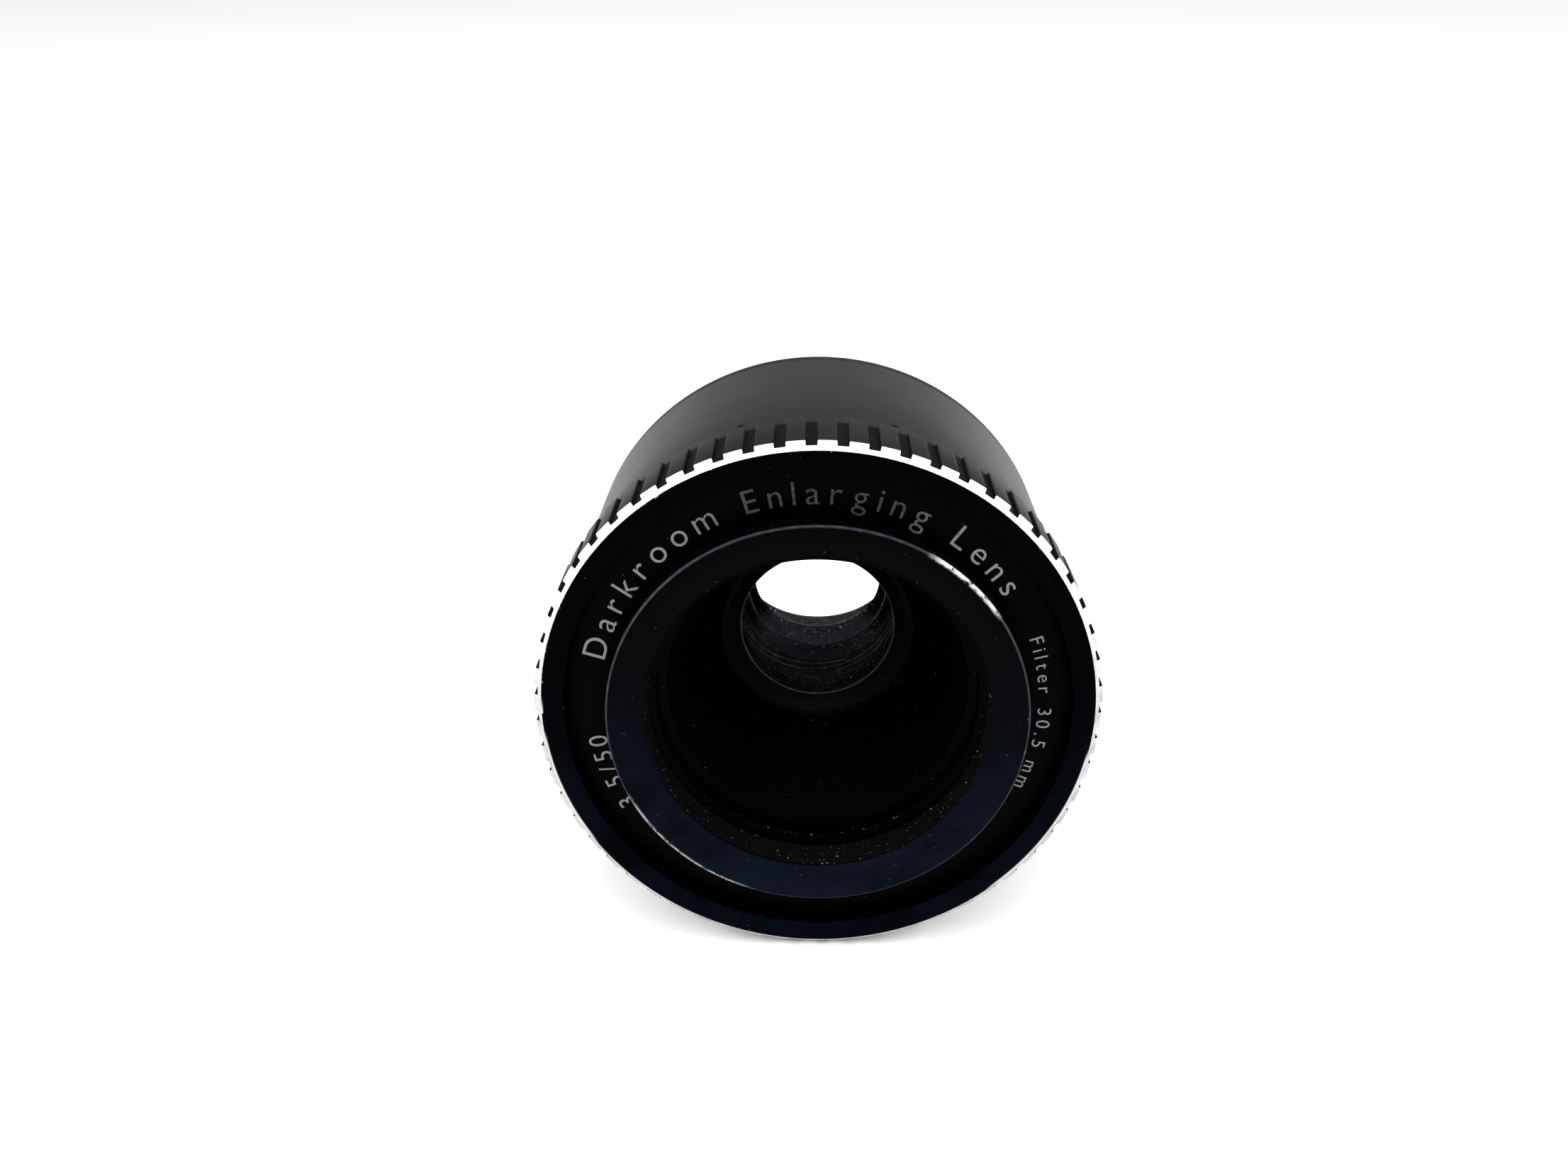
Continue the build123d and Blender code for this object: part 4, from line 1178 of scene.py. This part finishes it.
# %% Mount flange
MOUNT_PITCH = 25.4 / 26
BOSS_WALL = 2.4
BOSS_EDGE = 0.3
FLANGE_EDGE = 0.4
mount_crest = 19.5
mount_root = 18.9
boss_bore = mount_crest - BOSS_WALL
spigot = 14.62
flange = turned(
    "mount_flange_turned",
    [
        (flange_front, spigot),
        (flange_front, flange_radius),
        (-FLANGE_EDGE, flange_radius),
        (0.0, flange_radius - FLANGE_EDGE),
        (0.0, mount_root + 0.25),
        (0.12, mount_root),
        (thread_end - 0.55, mount_root),
        (thread_end, mount_root - FLANGE_EDGE),
        (thread_end, boss_bore + BOSS_EDGE),
        (thread_end - BOSS_EDGE, boss_bore),
        (0.0, boss_bore),
        (0.0, spigot),
    ],
    steps=300,
)
print("flange blank has", len(flange.data.polygons), "faces")

# %% [markdown]
# Three screws hold the flange to the barrel. Each hole is drilled twice: wide for the head, then narrow for the
# screw. The thread ridge starts just behind the plate and stops short of the boss's end.

# %% Screw holes and mount thread
SCREWS = 3
FIRST_SCREW = 30
HEAD_HOLE = 1.42
SCREW_HOLE = 0.82
HEAD_FLOOR = -0.75
screw_circle = (barrel_radius + neck_bore) / 2


def axial_drill(angle, radius, start):
    """A plain drill along the axis, at an angle on the circle of screws."""
    bpy.ops.object.select_all(action="DESELECT")
    bpy.ops.mesh.primitive_cylinder_add(vertices=64, radius=radius * MM, depth=DRILL_LENGTH * MM)
    drill = bpy.context.object
    start_editing(drill)
    bpy.ops.mesh.select_all(action="SELECT")
    bpy.ops.transform.translate(value=(0, 0, DRILL_LENGTH / 2 * MM))
    bpy.ops.object.mode_set(mode="OBJECT")
    turn = math.radians(angle)
    place = (screw_circle * math.cos(turn), start, screw_circle * math.sin(turn))
    drill.data.transform(Matrix.Translation(Vector(place) * MM) @ Matrix.Rotation(math.radians(-90), 4, "X"))
    return drill


for index in range(SCREWS):
    screw_angle = FIRST_SCREW + index * 360 / SCREWS
    cut_with(flange, axial_drill(screw_angle, HEAD_HOLE, HEAD_FLOOR))
    cut_with(flange, axial_drill(screw_angle, SCREW_HOLE, -2.0))
finish_edges(flange, width=0.05)
mount_turns = int((thread_end - 0.75) / MOUNT_PITCH) - 1
mount_thread = thread("mount_thread_ridge", mount_root, mount_crest, MOUNT_PITCH, 0.35, mount_turns, 180)
print("mount thread has", mount_turns, "turns")

# %% [markdown]
# The plate's edge is dyed satin grey like the barrel. Its rear face and the boss were turned after dyeing, so they
# are bare metal with fine tool lines and a little tarnish.

# %% Flange finish
flange_finish = Finish("flange_grey", Specular_IOR_Level=0.12)
satin_grey(flange_finish, flange_finish, [(0.0, flange_radius - 0.2), (thread_end, mount_root)])
turned_metal = flange_finish.y.rise(-0.03, 0.03) + flange_finish.radius.rise(spigot + 3.0, spigot + 2.6)
turned_metal = turned_metal.maths("MINIMUM", turned_metal, 1.0)
metal_layer = flange_finish.layer(turned_metal, Metallic=1.0)
tool = flange_finish.lathe_lines(flange_finish.radius + flange_finish.y * 0.7, 0.06)
tarnish = flange_finish.place.grain(2.2, detail=6.0)
metal_layer.feed(
    Base_Color=(tarnish.rise(0.40, 0.9) * 0.6 + tool * 0.4).blend((0.58, 0.58, 0.57), (0.40, 0.40, 0.39)),
    Roughness=0.26 + tool * 0.18 + tarnish * 0.08,
)
metal_layer.bump(tool, 0.008, 0.5)
coat(flange_finish.material, flange, mount_thread)
place_piece(flange, "body", "mount_alloy", "mount_flange")
place_piece(mount_thread, "body", "mount_alloy")

# %% [markdown]
# The rear cell holds the cemented pair of glasses. Its flange shows inside the mount, and its long hood stands out
# behind and keeps stray light off the rear glass. It is spun like the rest, in matt black, with grooves in its bore.

# %% Rear cell
BAFFLE_GROOVES = 9
GROOVE_STEP = 0.62
GROOVE_HALF = 0.2
BORE_ROOM = 0.22
CELL_BODY = 12.98  # radius that sits in the tube
CELL_HOOD = 10.6
CELL_FLANGE_FRONT = 2.02
CELL_FLANGE_REAR = 2.82
CELL_LIP = 0.4
CELL_OPENING = 7.0
glass_seat = REAR_EDGE + FIT
cell_front, cell_rear, cell_radius = span("rear_cell")
seat_front, seat_rear, seat_radius = span("rear_retainer")
baffles = []
for groove in range(BAFFLE_GROOVES):
    station = cell_rear - 0.6 - groove * GROOVE_STEP
    radius = seat_radius + BORE_ROOM - groove * 0.02
    baffles += [
        (station, radius),
        (station - GROOVE_HALF, radius + BORE_ROOM),
        (station - 2 * GROOVE_HALF, radius),
    ]
cell = turned(
    "rear_cell_turned",
    [
        (cell_front, CELL_OPENING),
        (cell_front, CELL_BODY),
        (CELL_FLANGE_FRONT, CELL_BODY),
        (CELL_FLANGE_FRONT, cell_radius),
        (CELL_FLANGE_REAR, cell_radius),
        (CELL_FLANGE_REAR, CELL_HOOD),
        (cell_rear, CELL_HOOD),
        (cell_rear, seat_radius + BORE_ROOM),
        *baffles,
        (seat_rear, seat_radius + FIT),
        (seat_front - FIT, seat_radius + FIT),
        (seat_front - FIT, glass_seat),
        (cell_front + CELL_LIP, glass_seat),
        (cell_front + CELL_LIP, CELL_OPENING),
    ],
)
finish_edges(cell, width=0.06)
cell_finish = Finish("cell_black", Specular_IOR_Level=0.1)
hood_edge = cell_finish.near_circle(cell_rear, CELL_HOOD, 0.15)
cell_edges = hood_edge + cell_finish.near_circle(CELL_FLANGE_REAR, cell_radius, 0.15)
cell_rub = cell_finish.place.grain(0.9, detail=5.0).rise(0.40, 0.80)
aged_black(cell_finish, cell_finish, cell_finish.radius, cell_edges * cell_rub * 0.10, cell_rub * 0.3)
coat(cell_finish.material, cell)
place_piece(cell, "body", "black_retainer", "rear_cell")

# %% [markdown]
# The rest of the frame's nodes keep their shape and get finishes: turned steel for screws and ball, dull spring
# strip, plain aluminium for the sleeve, blackened steel for the iris blades with the sheen that rubbing gives
# them, and matt black for tube, plates and rings.

# %% Finishes of the inner pieces
RELIEF = 0.006  # depth of the finest grain, in millimetres


def metal(name, light, dark, rough, pitch):
    """Bare metal with turning lines and tarnish."""
    finish = Finish(name, Metallic=1.0)
    lines = finish.lathe_lines(finish.radius + finish.y * 0.8, pitch)
    film = finish.place.grain(1.5, detail=5.0)
    pits = finish.place.grain(0.15, detail=2.0).rise(0.70, 0.78)
    finish.feed(
        Base_Color=film.rise(0.38, 0.7).blend(light, dark),
        Roughness=rough + lines * 0.14 + film * 0.08 + pits * 0.1,
    )
    finish.bump(lines - pits * 0.6, RELIEF, 0.5)
    return finish.material


def matt(name, level, spec):
    """Matt black with faint rings and rubbed highs."""
    finish = Finish(name, Specular_IOR_Level=spec)
    lines = finish.lathe_lines(finish.radius + finish.y * 0.8, 0.08)
    cloud = finish.place.grain(2.5, detail=5.0)
    finish.feed(
        Base_Color=cloud.rise(0.3, 0.75).blend((level,) * 3, (level * 2.2, level * 2.2, level * 2.4)),
        Roughness=0.5 + lines * 0.2,
    )
    finish.bump(lines + finish.place.grain(0.1) * 0.5, RELIEF, 0.5)
    return finish.material


steel = metal("turned_steel", (0.52, 0.51, 0.50), (0.36, 0.35, 0.34), 0.24, 0.05)
spring = metal("spring_strip", (0.40, 0.39, 0.37), (0.24, 0.23, 0.22), 0.34, 0.09)
plain = metal("plain_aluminium", (0.66, 0.66, 0.67), (0.48, 0.48, 0.49), 0.32, 0.10)
lock = metal("lock_ring_alloy", (0.50, 0.50, 0.50), (0.32, 0.32, 0.33), 0.30, 0.07)
blade = metal("blued_blades", (0.070, 0.075, 0.085), (0.040, 0.042, 0.050), 0.40, 0.12)
tube = matt("tube_black", 0.0025, 0.06)
plates = matt("iris_plate_black", 0.004, 0.10)
rings = matt("ring_black", 0.002, 0.06)
coat(steel, "sleeve_screws", "drive_screw", "click_ball", "flange_screws")
coat(spring, "wave_washer", "click_spring")
coat(plain, "drive_sleeve")
coat(lock, "flange_lock_ring")
coat(tube, "lens_tube")
coat(plates, "iris_base", "iris_actuator", "iris_cover")
coat(rings, "spacer_ring", "rear_retainer")
coat(blade, *[f"iris_blade_{number}" for number in range(1, 6)])
print("finishes:", len(bpy.data.materials))

# %% [markdown]
# The floor is plain matt paper. It has only the faintest mottle, so the shadows stay clean.

# %% Floor finish
paper = Finish("paper", Roughness=0.9, Specular_IOR_Level=0.1)
mottle = paper.place.grain(40.0, detail=3.0)
paper.feed(Base_Color=mottle.rise(0.2, 0.8).blend((0.905, 0.905, 0.90), (0.90, 0.90, 0.895)))
coat(paper.material, floor)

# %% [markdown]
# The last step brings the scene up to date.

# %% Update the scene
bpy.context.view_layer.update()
